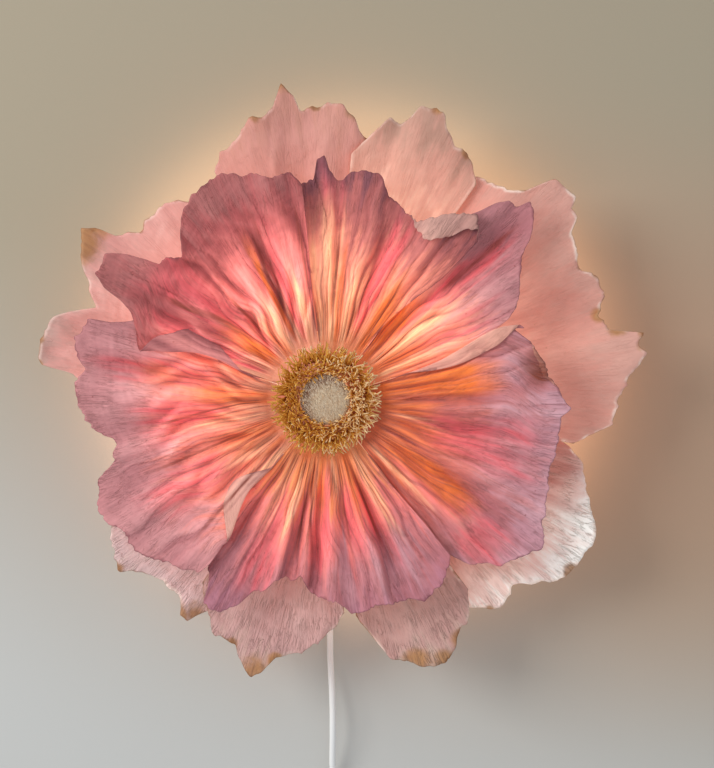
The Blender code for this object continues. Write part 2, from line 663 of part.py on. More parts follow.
def make_petal(name, petal, whorl, tab_depth, look, seed):
    """A sheet of crepe paper: a grid laid from the glued sector to the rim, then given its thickness."""
    stations = rim_stations(petal, whorl["column_deg"])
    rows = whorl["rows"]
    heights = gathers(petal, whorl, seed)
    right = petal["sector"][0] + TAB_GAP_DEG / 2
    left = petal["sector"][1] - TAB_GAP_DEG / 2
    rim_span = stations[-1][1] - stations[0][1]
    bm = bmesh.new()
    bmesh.ops.create_grid(bm, x_segments=len(stations) - 1, y_segments=len(rows), size=1)
    for vert in bm.verts:
        column = round((vert.co.x + 1) / 2 * (len(stations) - 1))
        row = round((vert.co.y + 1) / 2 * len(rows))
        share, rim_deg, rim_radius = stations[column]
        along = rows[max(row - 1, 0)]
        swing = smooth(along, *whorl["swing"])
        degrees = mix(mix(right, left, share), rim_deg, swing)
        radius = mix(whorl["tab_end"], rim_radius, along) if row else whorl["tab_start"]
        span = mix(left - right, rim_span, swing)
        depth = sheet_depth(whorl, petal, heights, degrees, radius, share, span)
        angle = math.radians(degrees)
        vert.co = (radius * MM * math.cos(angle), radius * MM * math.sin(angle), tab_depth + depth * MM)
    bmesh.ops.recalc_face_normals(bm, faces=bm.faces)
    sheet = place(name, mesh_from(name, bm), look)
    paper = sheet.modifiers.new("paper", "SOLIDIFY")
    paper.thickness = PAPER
    paper.offset = 0
    smooth_faces(sheet, 60)


def make_petals():
    inner_tab = DISC_DEPTH + DISC_THICK + SEAT_GAP + PAPER / 2
    outer_tab = DISC_DEPTH - SEAT_GAP - PAPER / 2
    for seed, (name, petal) in enumerate(INNER_PETALS.items()):
        make_petal(name, petal, INNER, inner_tab, MAUVE_PAPER, seed)
    for seed, (name, petal) in enumerate(OUTER_PETALS.items()):
        make_petal(name, petal, OUTER, outer_tab, BLUSH_PAPER, 100 + seed)


# Stamens and button

def face_angle(face):
    middle = face.calc_center_median()
    return math.atan2(middle.y, middle.x)


def make_stamens():
    foot = DISC_DEPTH + DISC_THICK + SEAT_GAP + PAPER + SEAT_GAP
    for seed, (name, strip) in enumerate(STAMEN_STRIPS.items()):
        draw = random.Random(40 + seed)
        middle_radius = BUTTON_RADIUS + STAMEN_FIT + seed * STAMEN_PITCH
        bm = bmesh.new()
        for radius in (middle_radius - STAMEN_BAND / 2, middle_radius + STAMEN_BAND / 2):
            bmesh.ops.create_circle(bm, segments=2 * strip["count"], radius=radius)
        bmesh.ops.bridge_loops(bm, edges=bm.edges)
        ring = bmesh.ops.extrude_face_region(bm, geom=bm.faces[:])
        top = [item for item in ring["geom"] if isinstance(item, bmesh.types.BMVert)]
        bmesh.ops.translate(bm, verts=top, vec=(0, 0, STAMEN_BAND_HEIGHT))
        bmesh.ops.recalc_face_normals(bm, faces=bm.faces)
        crown = [face for face in bm.faces if face.normal.z > 0.9]
        crown.sort(key=face_angle)
        fingers = bmesh.ops.extrude_discrete_faces(bm, faces=crown[::2])["faces"]
        fingers.sort(key=face_angle)
        for face in fingers:
            middle = face.calc_center_median()
            outward = Vector((middle.x, middle.y, 0)).normalized()
            splay = math.radians(strip["splay"] + draw.uniform(-STAMEN_SPLAY_DRAW, STAMEN_SPLAY_DRAW))
            length = strip["length"] * draw.uniform(STAMEN_SHORTEST, 1)
            step = outward * length * math.sin(splay) + Vector((0, 0, length * math.cos(splay)))
            for vert in face.verts:
                vert.co = middle + (vert.co - middle) * STAMEN_TAPER + step
        bmesh.ops.recalc_face_normals(bm, faces=bm.faces)
        place(name, mesh_from(name, bm), OCHRE_PAPER, (0, 0, foot))


def make_button():
    foot = DISC_DEPTH + DISC_THICK + SEAT_GAP
    crown = []
    for i in range(6):
        share = i / 6
        crown.append((share * BUTTON_RADIUS, BUTTON_EDGE_HEIGHT + BUTTON_CROWN * math.sqrt(1 - share ** 2)))
    button = turned("centre_button", crown + [
        (BUTTON_RADIUS, BUTTON_EDGE_HEIGHT),
        (BUTTON_FOOT_RADIUS, 0),
        (0, 0),
    ], FELT, BUTTON_STEPS, location=(0, 0, foot))
    smooth_faces(button, 50)


# Mains cord

def curve_through(points, step):
    """Points about one step apart on a smooth curve through the given ones."""
    ends = [2 * points[0] - points[1]] + points + [2 * points[-1] - points[-2]]
    made = []
    for before, start, end, after in zip(ends, ends[1:], ends[2:], ends[3:]):
        pieces = max(1, round((end - start).length / step))
        for i in range(pieces):
            t = i / pieces
            made.append(0.5 * (2 * start + (end - before) * t
                               + (2 * before - 5 * start + 4 * end - after) * t ** 2
                               + (3 * start - before - 3 * end + after) * t ** 3))
    made.append(points[-1])
    return made


def tube(name, points):
    curve = bpy.data.curves.new(name, "CURVE")
    curve.dimensions = "3D"
    curve.bevel_depth = CORD_RADIUS
    curve.bevel_resolution = 2
    curve.use_fill_caps = True
    spline = curve.splines.new("POLY")
    spline.points.add(len(points) - 1)
    for target, point in zip(spline.points, points):
        target.co = (*point, 1)
    place(name, curve, CORD_WHITE)


def make_gland():
    drop = PLATE_RADIUS + SEAT_GAP
    profile = [(0, GLAND_LENGTH)]
    for i in range(GLAND_RIBS):
        radius = mix(GLAND_TIP_RADIUS, GLAND_NECK_RADIUS, i / GLAND_RIBS)
        height = mix(GLAND_LENGTH, GLAND_COLLAR, i / GLAND_RIBS)
        profile += [(radius, height), (radius, height - GLAND_RIB)]
        profile.append((radius - GLAND_GROOVE, height - GLAND_RIB))
    profile += [(GLAND_NECK_RADIUS, GLAND_COLLAR), (GLAND_RADIUS, GLAND_COLLAR), (GLAND_RADIUS, 0), (0, 0)]
    turned("cord_gland", profile, CORD_WHITE, SMALL_STEPS, location=(CORD_X, -drop, GLAND_DEPTH),
           rotation=(math.radians(90), 0, 0))
    return -drop - GLAND_LENGTH


def make_cord():
    """The cord hangs from the gland to its coil, which is one ring here, and ends in the plug."""
    half_coil = COIL_TURNS_ACROSS * CORD_RADIUS + SEAT_GAP
    outer_turn = COIL_MEAN_RADIUS + (COIL_TURNS_ACROSS - 1) * CORD_RADIUS
    coil_outside = COIL_MEAN_RADIUS + half_coil
    start = make_gland() - SEAT_GAP
    coil_top = COIL_HEIGHT + coil_outside + SEAT_GAP
    points = [Vector((CORD_X, start, GLAND_DEPTH))]
    points += [Vector(point) * MM for point in CORD_ROUTE]
    points.append(Vector((COIL_X, coil_top, COIL_DEPTH)))
    tube("cord", curve_through(points, CORD_STEP))
    inside = COIL_MEAN_RADIUS - half_coil
    flat = half_coil - CORD_RADIUS
    turned("cord_coil", (
        (inside + CORD_RADIUS, half_coil),
        (coil_outside - CORD_RADIUS, half_coil),
        (coil_outside, flat),
        (coil_outside, -flat),
        (coil_outside - CORD_RADIUS, -half_coil),
        (inside + CORD_RADIUS, -half_coil),
        (inside, -flat),
        (inside, flat),
    ), CORD_WHITE, COIL_STEPS, closed=True, location=(COIL_X, COIL_HEIGHT, COIL_DEPTH))
    hole = 2 * (half_coil + TIE_FIT)
    band = hole + 2 * TIE_THICK
    tie = outline_curve("coil_tie", [rounded_box(band, band, 3 * TIE_THICK),
                                     rounded_box(hole, hole, 2 * TIE_THICK)], TIE_WIDTH)
    place("coil_tie", tie, CORD_WHITE, (COIL_X - COIL_MEAN_RADIUS, COIL_HEIGHT, COIL_DEPTH),
          (math.radians(90), 0, 0))
    tail_x = COIL_X + outer_turn
    tail_side = outer_turn - CORD_RADIUS
    tail_top = COIL_HEIGHT - math.sqrt(coil_outside ** 2 - tail_side ** 2) - SEAT_GAP
    plug_top = COIL_HEIGHT - PLUG_DROP
    tail = [Vector((tail_x, tail_top, COIL_DEPTH)), Vector((tail_x, plug_top + SEAT_GAP, COIL_DEPTH))]
    tube("cord_tail", curve_through(tail, CORD_STEP / 2))
    make_plug(tail_x, plug_top)


def make_plug(x, top):
    neck = PLUG_NECK / 2
    half = PLUG_WIDTH / 2
    outline = [(-neck, 0), (-neck - PLUG_EDGE / 2, -PLUG_NECK_LENGTH), (-half, -PLUG_SHOULDER),
               (-half, PLUG_EDGE * 2 - PLUG_LENGTH), (-half + 2 * PLUG_EDGE, -PLUG_LENGTH)]
    outline += [(-across, along) for across, along in reversed(outline)]
    place("plug_body", outline_curve("plug_body", [outline], PLUG_THICK), CORD_WHITE, (x, top, COIL_DEPTH))
    pin_middle = top - PLUG_LENGTH - SEAT_GAP - PIN_LENGTH / 2
    for side, name in ((-1, "left"), (1, "right")):
        pin = rod_mesh("plug_pin_" + name, PIN_RADIUS, PIN_LENGTH)
        place("plug_pin_" + name, pin, NICKEL, (x + side * PIN_SPACING / 2, pin_middle, COIL_DEPTH),
              (math.radians(90), 0, 0))


make_wall_plate()
make_hanger()
make_lamp()
make_carrier()
make_petals()
make_stamens()
make_button()
make_cord()
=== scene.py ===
import math
import random

import bpy
import numpy as np
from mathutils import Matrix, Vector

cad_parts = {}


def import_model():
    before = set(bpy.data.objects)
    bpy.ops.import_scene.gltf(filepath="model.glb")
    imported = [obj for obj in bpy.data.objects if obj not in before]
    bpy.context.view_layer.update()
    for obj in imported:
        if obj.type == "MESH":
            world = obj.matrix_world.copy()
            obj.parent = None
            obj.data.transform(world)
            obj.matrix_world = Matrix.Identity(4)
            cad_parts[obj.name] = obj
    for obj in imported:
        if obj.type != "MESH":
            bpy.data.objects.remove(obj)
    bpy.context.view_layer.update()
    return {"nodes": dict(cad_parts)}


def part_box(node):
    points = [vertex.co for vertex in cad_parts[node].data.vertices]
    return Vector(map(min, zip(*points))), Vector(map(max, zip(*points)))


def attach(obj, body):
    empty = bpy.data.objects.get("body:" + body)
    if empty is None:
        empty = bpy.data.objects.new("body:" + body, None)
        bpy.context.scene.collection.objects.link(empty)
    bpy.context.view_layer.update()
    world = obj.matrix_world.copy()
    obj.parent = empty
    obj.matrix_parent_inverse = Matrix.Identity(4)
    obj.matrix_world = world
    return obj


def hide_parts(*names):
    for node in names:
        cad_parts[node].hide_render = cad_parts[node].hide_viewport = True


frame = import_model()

# A wall light made as a giant crepe paper flower. The wall is the plane Y = 0 and the flower faces -Y.
# Flower millimetres: x right, y up, d out from the wall.
# Petal places are degrees and millimetres from the axis.


def world(x, y, d):
    return np.stack(np.broadcast_arrays(x * 0.001, d * -0.001, y * 0.001), axis=-1)


def between(first, second, share):
    return first + (second - first) * share


def ease(value, low, high):
    share = np.clip((value - low) / (high - low), 0, 1)
    return share * share * (3 - 2 * share)


def ripple(u, v, seed):
    # smooth noise from -1 to 1, one bump per unit of u and v
    table = np.random.default_rng(seed).uniform(-1, 1, (64, 64))
    u, v = np.broadcast_arrays(u, v)
    left = np.floor(u).astype(int)
    low = np.floor(v).astype(int)
    across = ease(u - left, 0, 1)
    up = ease(v - low, 0, 1)
    near = between(table[left % 64, low % 64], table[(left + 1) % 64, low % 64], across)
    far = between(table[left % 64, (low + 1) % 64], table[(left + 1) % 64, (low + 1) % 64], across)
    return between(near, far, up)


def paint(red, green, blue):
    # a colour as seen on a screen, 0 to 255
    parts = []
    for part in (red / 255, green / 255, blue / 255):
        parts.append(part / 12.92 if part <= 0.04045 else ((part + 0.055) / 1.055) ** 2.4)
    return (*parts, 1)


def addPiece(name, data, nodes=()):
    piece = bpy.data.objects.new(name, data)
    bpy.context.scene.collection.objects.link(piece)
    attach(piece, "root")
    if nodes:
        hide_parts(*nodes)
    return piece


print("camera")

cameraSettings = {
    "place": (0.0272, -1.6, 0.0136),
    "lens": 83.25,
    "sensor": 36,
    "far": 20,
}
cameraData = bpy.data.cameras.new("camera")
cameraData.lens = cameraSettings["lens"]
cameraData.sensor_width = cameraSettings["sensor"]
cameraData.clip_end = cameraSettings["far"]
camera = bpy.data.objects.new("camera", cameraData)
camera.location = cameraSettings["place"]
camera.rotation_euler = (math.radians(90), 0, 0)
bpy.context.scene.collection.objects.link(camera)
bpy.context.scene.camera = camera


print("cord")

cordSettings = {
    "radius": 2.8,
    "exit": (3, -86.3, 6.5),
    "start": (3, -80, 6.5),
    "route": (
        (3, -90, 6.5), (3, -100, 6.5), (3, -115, 6.5), (3, -130, 6.5), (3, -147, 6.5), (3, -165, 6.6),
        (3, -183, 6.7), (3, -200, 7), (3.1, -214, 7.6), (3.2, -226, 8.5), (3.6, -237, 10.4), (4.2, -248, 13),
        (4.8, -258, 15.5), (5.2, -268, 17.5), (5.5, -278, 18.7), (5.6, -288, 18.9), (5.6, -297, 18),
        (5.5, -306, 16.2), (5.3, -315, 13.9), (5.2, -323, 11.7),
    ),
    "coil middle": (5.2, -386, 10.6),
    "coil radius": 32.3,
    "turn pitch": 5.85,
    "joining bend": 25,
    "turns": 7,
    "places": ((2, 0), (1, 0), (0, 0), (0, 1), (0, 2), (1, 2), (1, 1), (2, 1)),
    "first move": 23,
    "move spacing": 312,
    "move half": 37,
    "plug": (41.8, -420),
    "into plug": 8,
    "line step": 4,
    "clear of bend": 4,
    "bend shares": (0.12, 0.3, 0.5, 0.7, 0.87),
    "bend sag": 1.5,
    "coil step": 15,
    "plug shares": (0.3, 0.6, 0.9),
}


def smoothLine(points, step):
    points = [np.array(point, float) for point in points]
    ends = [2 * points[0] - points[1], *points, 2 * points[-1] - points[-2]]
    made = []
    for before, start, end, after in zip(ends, ends[1:], ends[2:], ends[3:]):
        pieces = max(1, round(float(np.linalg.norm(end - start)) / step))
        for i in range(pieces):
            t = i / pieces
            squared = (2 * before - 5 * start + 4 * end - after) * t * t
            cubed = (3 * start - before - 3 * end + after) * t ** 3
            made.append(0.5 * (2 * start + (end - before) * t + squared + cubed))
    made.append(points[-1])
    return made


def cordPath():
    # down from the gland, into a coil of turns that lie beside and on each other, and out to the plug
    middleX, middleY, middleD = cordSettings["coil middle"]
    pitch = cordSettings["turn pitch"]
    bend = cordSettings["joining bend"]
    outer = cordSettings["coil radius"] + pitch
    joining = math.acos(bend / (bend + outer))
    bendTop = middleY + (bend + outer) * math.sin(joining)
    clear = bendTop + cordSettings["clear of bend"]
    points = [cordSettings["start"]] + [point for point in cordSettings["route"] if point[1] > clear]
    depthAtBend = points[-1][2] - cordSettings["bend sag"]
    backDepth = middleD - pitch
    for share in cordSettings["bend shares"]:
        angle = share * joining
        points.append((middleX + bend * (1 - math.cos(angle)), bendTop - bend * math.sin(angle),
                       between(depthAtBend, backDepth, float(ease(share, -0.2, 1)))))
    places = cordSettings["places"]
    total = cordSettings["turns"] * 360 + math.degrees(joining)
    for travel in np.linspace(0, total, round(total / cordSettings["coil step"])):
        across, deep = places[0]
        for k in range(len(places) - 1):
            moved = float(ease(travel - cordSettings["first move"] - (k + 1) * cordSettings["move spacing"],
                               -cordSettings["move half"], cordSettings["move half"]))
            across += moved * (places[k + 1][0] - places[k][0])
            deep += moved * (places[k + 1][1] - places[k][1])
        angle = joining - math.radians(travel)
        radius = cordSettings["coil radius"] + (across - 1) * pitch
        points.append((middleX + radius * math.cos(angle), middleY + radius * math.sin(angle),
                       middleD + (deep - 1) * pitch))
    plugX, plugY = cordSettings["plug"]
    lastX = points[-1][0]
    for share in cordSettings["plug shares"]:
        across = between(lastX, plugX, float(ease(share, 0, 1)))
        points.append((across, between(middleY, plugY, share), middleD))
    points.append((plugX, plugY - cordSettings["into plug"], middleD))
    return points


cordLine = [point * 0.001 for point in smoothLine(cordPath(), cordSettings["line step"])]
cordCurve = bpy.data.curves.new("mains cord", "CURVE")
cordCurve.dimensions = "3D"
cordCurve.bevel_depth = 1
cordCurve.bevel_resolution = 5
cordCurve.use_fill_caps = True
cordSpline = cordCurve.splines.new("POLY")
cordSpline.points.add(len(cordLine) - 1)
for target, (x, y, d) in zip(cordSpline.points, cordLine):
    target.co = (x, -d, y, 1)
    target.radius = cordSettings["radius"] * 0.001
cordSpline.use_smooth = True
mainsCord = addPiece("mainsCord", cordCurve, ["cord", "cord_coil", "cord_tail"])


print("shader groups")

socketKinds = {"Paper": "Vector", "Place": "Vector", "Colour": "Color", "Dye": "Color", "Stain": "Color"}


def feed(tree, socket, value):
    if isinstance(value, bpy.types.NodeSocket):
        tree.links.new(value, socket)
    else:
        socket.default_value = value


def feedAll(tree, sockets, values):
    for label, value in values.items():
        feed(tree, sockets[label], value)


def addNode(tree, kind, **options):
    made = tree.nodes.new("ShaderNode" + kind)
    for option, value in options.items():
        setattr(made, option, value)
    return made


def split(tree, value, kind="Color"):
    made = addNode(tree, "Separate" + kind)
    tree.links.new(value, made.inputs[0])
    return made.outputs


def attribute(tree, name):
    return addNode(tree, "Attribute", attribute_name=name).outputs


def objectPlace(tree):
    return addNode(tree, "TexCoord").outputs["Object"]


def calc(tree, operation, *values, clamp=False):
    made = addNode(tree, "Math", operation=operation, use_clamp=clamp)
    for socket, value in zip(made.inputs, values):
        feed(tree, socket, value)
    return made.outputs[0]


def times(tree, first, second, clamp=False):
    return calc(tree, "MULTIPLY", first, second, clamp=clamp)


def plus(tree, first, second, clamp=False):
    return calc(tree, "ADD", first, second, clamp=clamp)


def minus(tree, first, second, clamp=False):
    return calc(tree, "SUBTRACT", first, second, clamp=clamp)


def swung(tree, noise, amount):
    # noise of 0 to 1 as a push to either side
    return times(tree, minus(tree, noise, 0.5), amount)


def mixed(tree, factor, first, second, blend="MIX"):
    made = addNode(tree, "Mix", data_type="RGBA", blend_type=blend)
    for place, value in ((0, factor), (6, first), (7, second)):
        feed(tree, made.inputs[place], value)
    return made.outputs[2]


def ramped(tree, value, low, high, toLow=0.0, toHigh=1.0):
    made = addNode(tree, "MapRange", interpolation_type="SMOOTHSTEP")
    for socket, number in zip(made.inputs, (value, low, high, toLow, toHigh)):
        feed(tree, socket, number)
    return made.outputs[0]


def scaled(tree, vector, amounts, operation="MULTIPLY"):
    made = addNode(tree, "VectorMath", operation=operation)
    feed(tree, made.inputs[0], vector)
    feed(tree, made.inputs[1], amounts)
    return made.outputs[0]


def cloud(tree, vector, scale, detail=3.0, rough=0.5, twist=0.0):
    made = addNode(tree, "TexNoise")
    feedAll(tree, made.inputs, {"Vector": vector, "Scale": scale, "Detail": detail, "Roughness": rough,
                                "Distortion": twist})
    return made.outputs["Fac"]


def newGroup(name, takes, gives):
    tree = bpy.data.node_groups.new(name, "ShaderNodeTree")
    for side, labels in (("INPUT", takes), ("OUTPUT", gives)):
        for label in labels:
            kind = "NodeSocket" + socketKinds.get(label, "Float")
            tree.interface.new_socket(name=label, in_out=side, socket_type=kind)
    return tree, tree.nodes.new("NodeGroupInput").outputs, tree.nodes.new("NodeGroupOutput").inputs


def useGroup(tree, group, **values):
    made = tree.nodes.new("ShaderNodeGroup")
    made.node_tree = group
    feedAll(tree, made.inputs, values)
    return made.outputs


def makeCrepeGrain():
    # fine ridges along the paper's length, and softer creases; Paper is the flat sheet in decimetres
    tree, takes, gives = newGroup("crepe grain", ("Paper", "Ridges", "Seed"), ("Streak", "Height", "Mottle"))
    paper = scaled(tree, takes["Paper"], takes["Seed"], "ADD")
    ridges = cloud(tree, scaled(tree, paper, (1, 0.07, 1)), takes["Ridges"], 3, 0.6)
    creases = cloud(tree, scaled(tree, paper, (1, 0.35, 1)), 26, 4, 0.6, 0.8)
    broad = cloud(tree, scaled(tree, paper, (1, 0.12, 1)), 14, 3, 0.55, 0.3)
    feedAll(tree, gives, {
        "Streak": ramped(tree, broad, 0.3, 0.72),
        "Height": plus(tree, times(tree, ridges, 0.5), times(tree, creases, 0.5)),
        "Mottle": cloud(tree, paper, 5, 4, 0.6, 0.4),
    })
    return tree


def makeBledDyeAndShade():
    # dye that has run along the grain, and the painted valley shadow laid on the same way: the mask's border
    # breaks up into streaks
    tree, takes, gives = newGroup("bled dye and shade", ("Colour", "Dye", "Mask", "Streak", "Bleed"), ("Colour",))
    # nothing where the mask is empty
    wandering = swung(tree, takes["Streak"], takes["Bleed"])
    wandering = times(tree, wandering, ramped(tree, takes["Mask"], 0.0, 0.35))
    amount = plus(tree, takes["Mask"], wandering, clamp=True)
    feed(tree, gives["Colour"], mixed(tree, amount, takes["Colour"], takes["Dye"]))
    return tree


def makeTornEdge():
    # the last millimetres of the sheet, stained unevenly
    tree, takes, gives = newGroup("torn edge", ("Colour", "Stain", "Edge", "Width", "Amount", "Paper"),
                                  ("Colour",))
    patches = ramped(tree, cloud(tree, takes["Paper"], 4.0, 3, 0.6, 0.5), 0.5, 0.66)
    reach = times(tree, takes["Width"], plus(tree, patches, 0.08))
    mask = minus(tree, 1.0, calc(tree, "DIVIDE", takes["Edge"], reach), clamp=True)
    mask = times(tree, mask, takes["Amount"], clamp=True)
    feed(tree, gives["Colour"], mixed(tree, mask, takes["Colour"], takes["Stain"]))
    return tree


def makeSpecks():
    # small dark flecks of dye, in drifts
    tree, takes, gives = newGroup("dye specks", ("Paper", "Scale", "Amount"), ("Mask",))
    cells = addNode(tree, "TexVoronoi")
    feedAll(tree, cells.inputs, {"Vector": takes["Paper"], "Scale": takes["Scale"]})
    dots = ramped(tree, cells.outputs["Distance"], 0.06, 0.2, 1.0, 0.0)
    drift = ramped(tree, cloud(tree, takes["Paper"], 1.6, 2, 0.5), 0.5, 0.68)
    few = calc(tree, "GREATER_THAN", split(tree, cells.outputs["Color"])[0], 0.55)
    feed(tree, gives["Mask"], times(tree, times(tree, dots, few), times(tree, drift, takes["Amount"])))
    return tree


def makePressedLines():
    # hairline creases that run with the grain
    tree, takes, gives = newGroup("pressed lines", ("Paper", "Pitch"), ("Line",))
    wave = cloud(tree, scaled(tree, takes["Paper"], (1, 0.13, 1)), takes["Pitch"], 2, 0.5, 0.7)
    thin = ramped(tree, calc(tree, "ABSOLUTE", minus(tree, wave, 0.5)), 0.0, 0.028, 1.0, 0.0)
    patches = ramped(tree, cloud(tree, takes["Paper"], 5.0, 2, 0.5), 0.35, 0.6)
    feed(tree, gives["Line"], times(tree, thin, patches))
    return tree


def makeHandling():
    # faint dust and rubbed places of hard parts, in object metres
    tree, takes, gives = newGroup("handling", ("Place", "Colour", "Dust", "Rough", "Fine"),
                                  ("Colour", "Roughness", "Height"))
    smudge = cloud(tree, takes["Place"], 38, 4, 0.6, 0.4)
    dust = times(tree, ramped(tree, smudge, 0.45, 0.75), takes["Dust"])
    feedAll(tree, gives, {
        "Colour": mixed(tree, dust, takes["Colour"], paint(196, 186, 170)),
        "Roughness": plus(tree, takes["Rough"], swung(tree, smudge, 0.25)),
        "Height": cloud(tree, takes["Place"], takes["Fine"], 3, 0.6),
    })
    return tree


crepeGrain = makeCrepeGrain()
bledDyeAndShade = makeBledDyeAndShade()
tornEdge = makeTornEdge()
dyeSpecks = makeSpecks()
pressedLines = makePressedLines()
handling = makeHandling()


def newMaterial(name):
    made = bpy.data.materials.new(name)
    made.use_nodes = True
    tree = made.node_tree
    return made, tree, tree.nodes["Principled BSDF"].inputs


def addBump(tree, shader, height, strength, distance):
    bump = addNode(tree, "Bump")
    feedAll(tree, bump.inputs, {"Strength": strength, "Distance": distance, "Height": height})
    tree.links.new(bump.outputs[0], shader["Normal"])


print("petals")

innerWhorl = {
    "slot": "petal_mauve", "gather seed": 0, "sheet seed": 200,
    "tab": 61.65, "tab start": 23, "tab end": 50,
    "cup": 41, "cup power": 0.75, "dip": 0, "reach": 200,
    "lift": 6.0, "gather": 3.2, "gather zone": (48, 78, 120, 195),
    "waves": ((3, 3.5, 0.6), (5, 3.5, 2.1), (9, 3.0, 4.0), (14, 2.5, 1.1)), "wave zone": (90, 190),
    "columns per degree": 3.75, "rows": 92, "tab rows": 3,
    "pleat": 0.5, "crease": 0.9, "crinkle": 0.45, "ruffle": 3.2, "lip": 2.4, "tear": 2.0, "soften": 0.5,
    "pressed folds": ((9.0, 3.2, 235, 1.0), (4.2, 1.8, 200, 0.9), (2.1, 0.9, 140, 0.75)), "fold start": 46,
    "glow zone": (50, 95, 115, 185), "glow level": 1, "glow left": 0.08, "glow by crease": (0.45, 1.5),
    "line shade": 0.45, "hairlines": 0.22, "shade": (0.76, 1.2), "relief shade": (0.9, 1.08), "ridges": 70.0,
    "relief": 0.75, "specks": 0.75, "speck dye": "speck", "stain dye": "inner stain",
    "washes": ((0.6, 1.05), (1.0, 1.6), (1.6, 2.05)),
    "dye runs": (("lavender", "lavender", "Streak", 0.7), ("rose", "rose", "Streak", 0.7),
                 ("orange", "orange", "Mottle", 1.0), ("cream", "cream", "Streak", 0.8)),
}
outerWhorl = {
    "slot": "petal_blush", "gather seed": 100, "sheet seed": 600,
    "tab": 57.35, "tab start": 48, "tab end": 60,
    "cup": 19, "cup power": 1.9, "dip": 3.5, "reach": 270,
    "lift": 4.0, "gather": 1.8, "gather zone": (62, 100, 140, 230),
    "waves": ((4, 3.0, 0.3), (7, 3.5, 2.6), (11, 3.5, 0.9), (19, 2.5, 5.0)), "wave zone": (110, 240),
    "columns per degree": 2.5, "rows": 64, "tab rows": 2,
    "pleat": 0.4, "crease": 1.2, "crinkle": 0.5, "ruffle": 3.4, "lip": 3.0, "tear": 1.7, "soften": 0.3,
    "pressed folds": ((13.0, 1.8, 300, 0.3), (5.5, 0.7, 280, 0.25)), "fold start": 90,
    "glow zone": (0, 1, 160, 260), "glow level": 0.5, "glow left": 0.34, "glow by crease": (1, 1),
    "line shade": 0.5, "hairlines": 0.1, "shade": (0.92, 1.06), "relief shade": (0.95, 1.05), "ridges": 85.0,
    "relief": 0.4, "specks": 0.35, "speck dye": "outer stain", "stain dye": "outer stain",
    "washes": ((1.3, 2.1), (2.1, 2.6)),
    "dye runs": (("blush", "rose", "Streak", 0.5),),
}
liftRun = (2, 30)
dipRun = 50
fadeDegrees = (1, 12)
overlapDegrees = 18
gatherDegrees = 7.5
foldRise = 35
foldFall = 40
sectorGap = 0.5
swingRun = (0.08, 0.75)
pleatDegrees = 2.6
quietRun = (0.3, 4)
ruffleReach = 42
lipReach = 9
edgeReach = 30
burnReach = 2.4
strokeRise = 12
strokeFall = (38, 8)
tornJags = ((0.8, 1.2, 0.5), (0.55, 0.6, 0.5), (1.5, 2.7, 3.5))
rimRuffles = ((1, 6.5, 0.5), (0.6, 3.1, 0.5))
foldPeak = 0.76
valleyWidth = 0.6
paperThickness = 0.0004
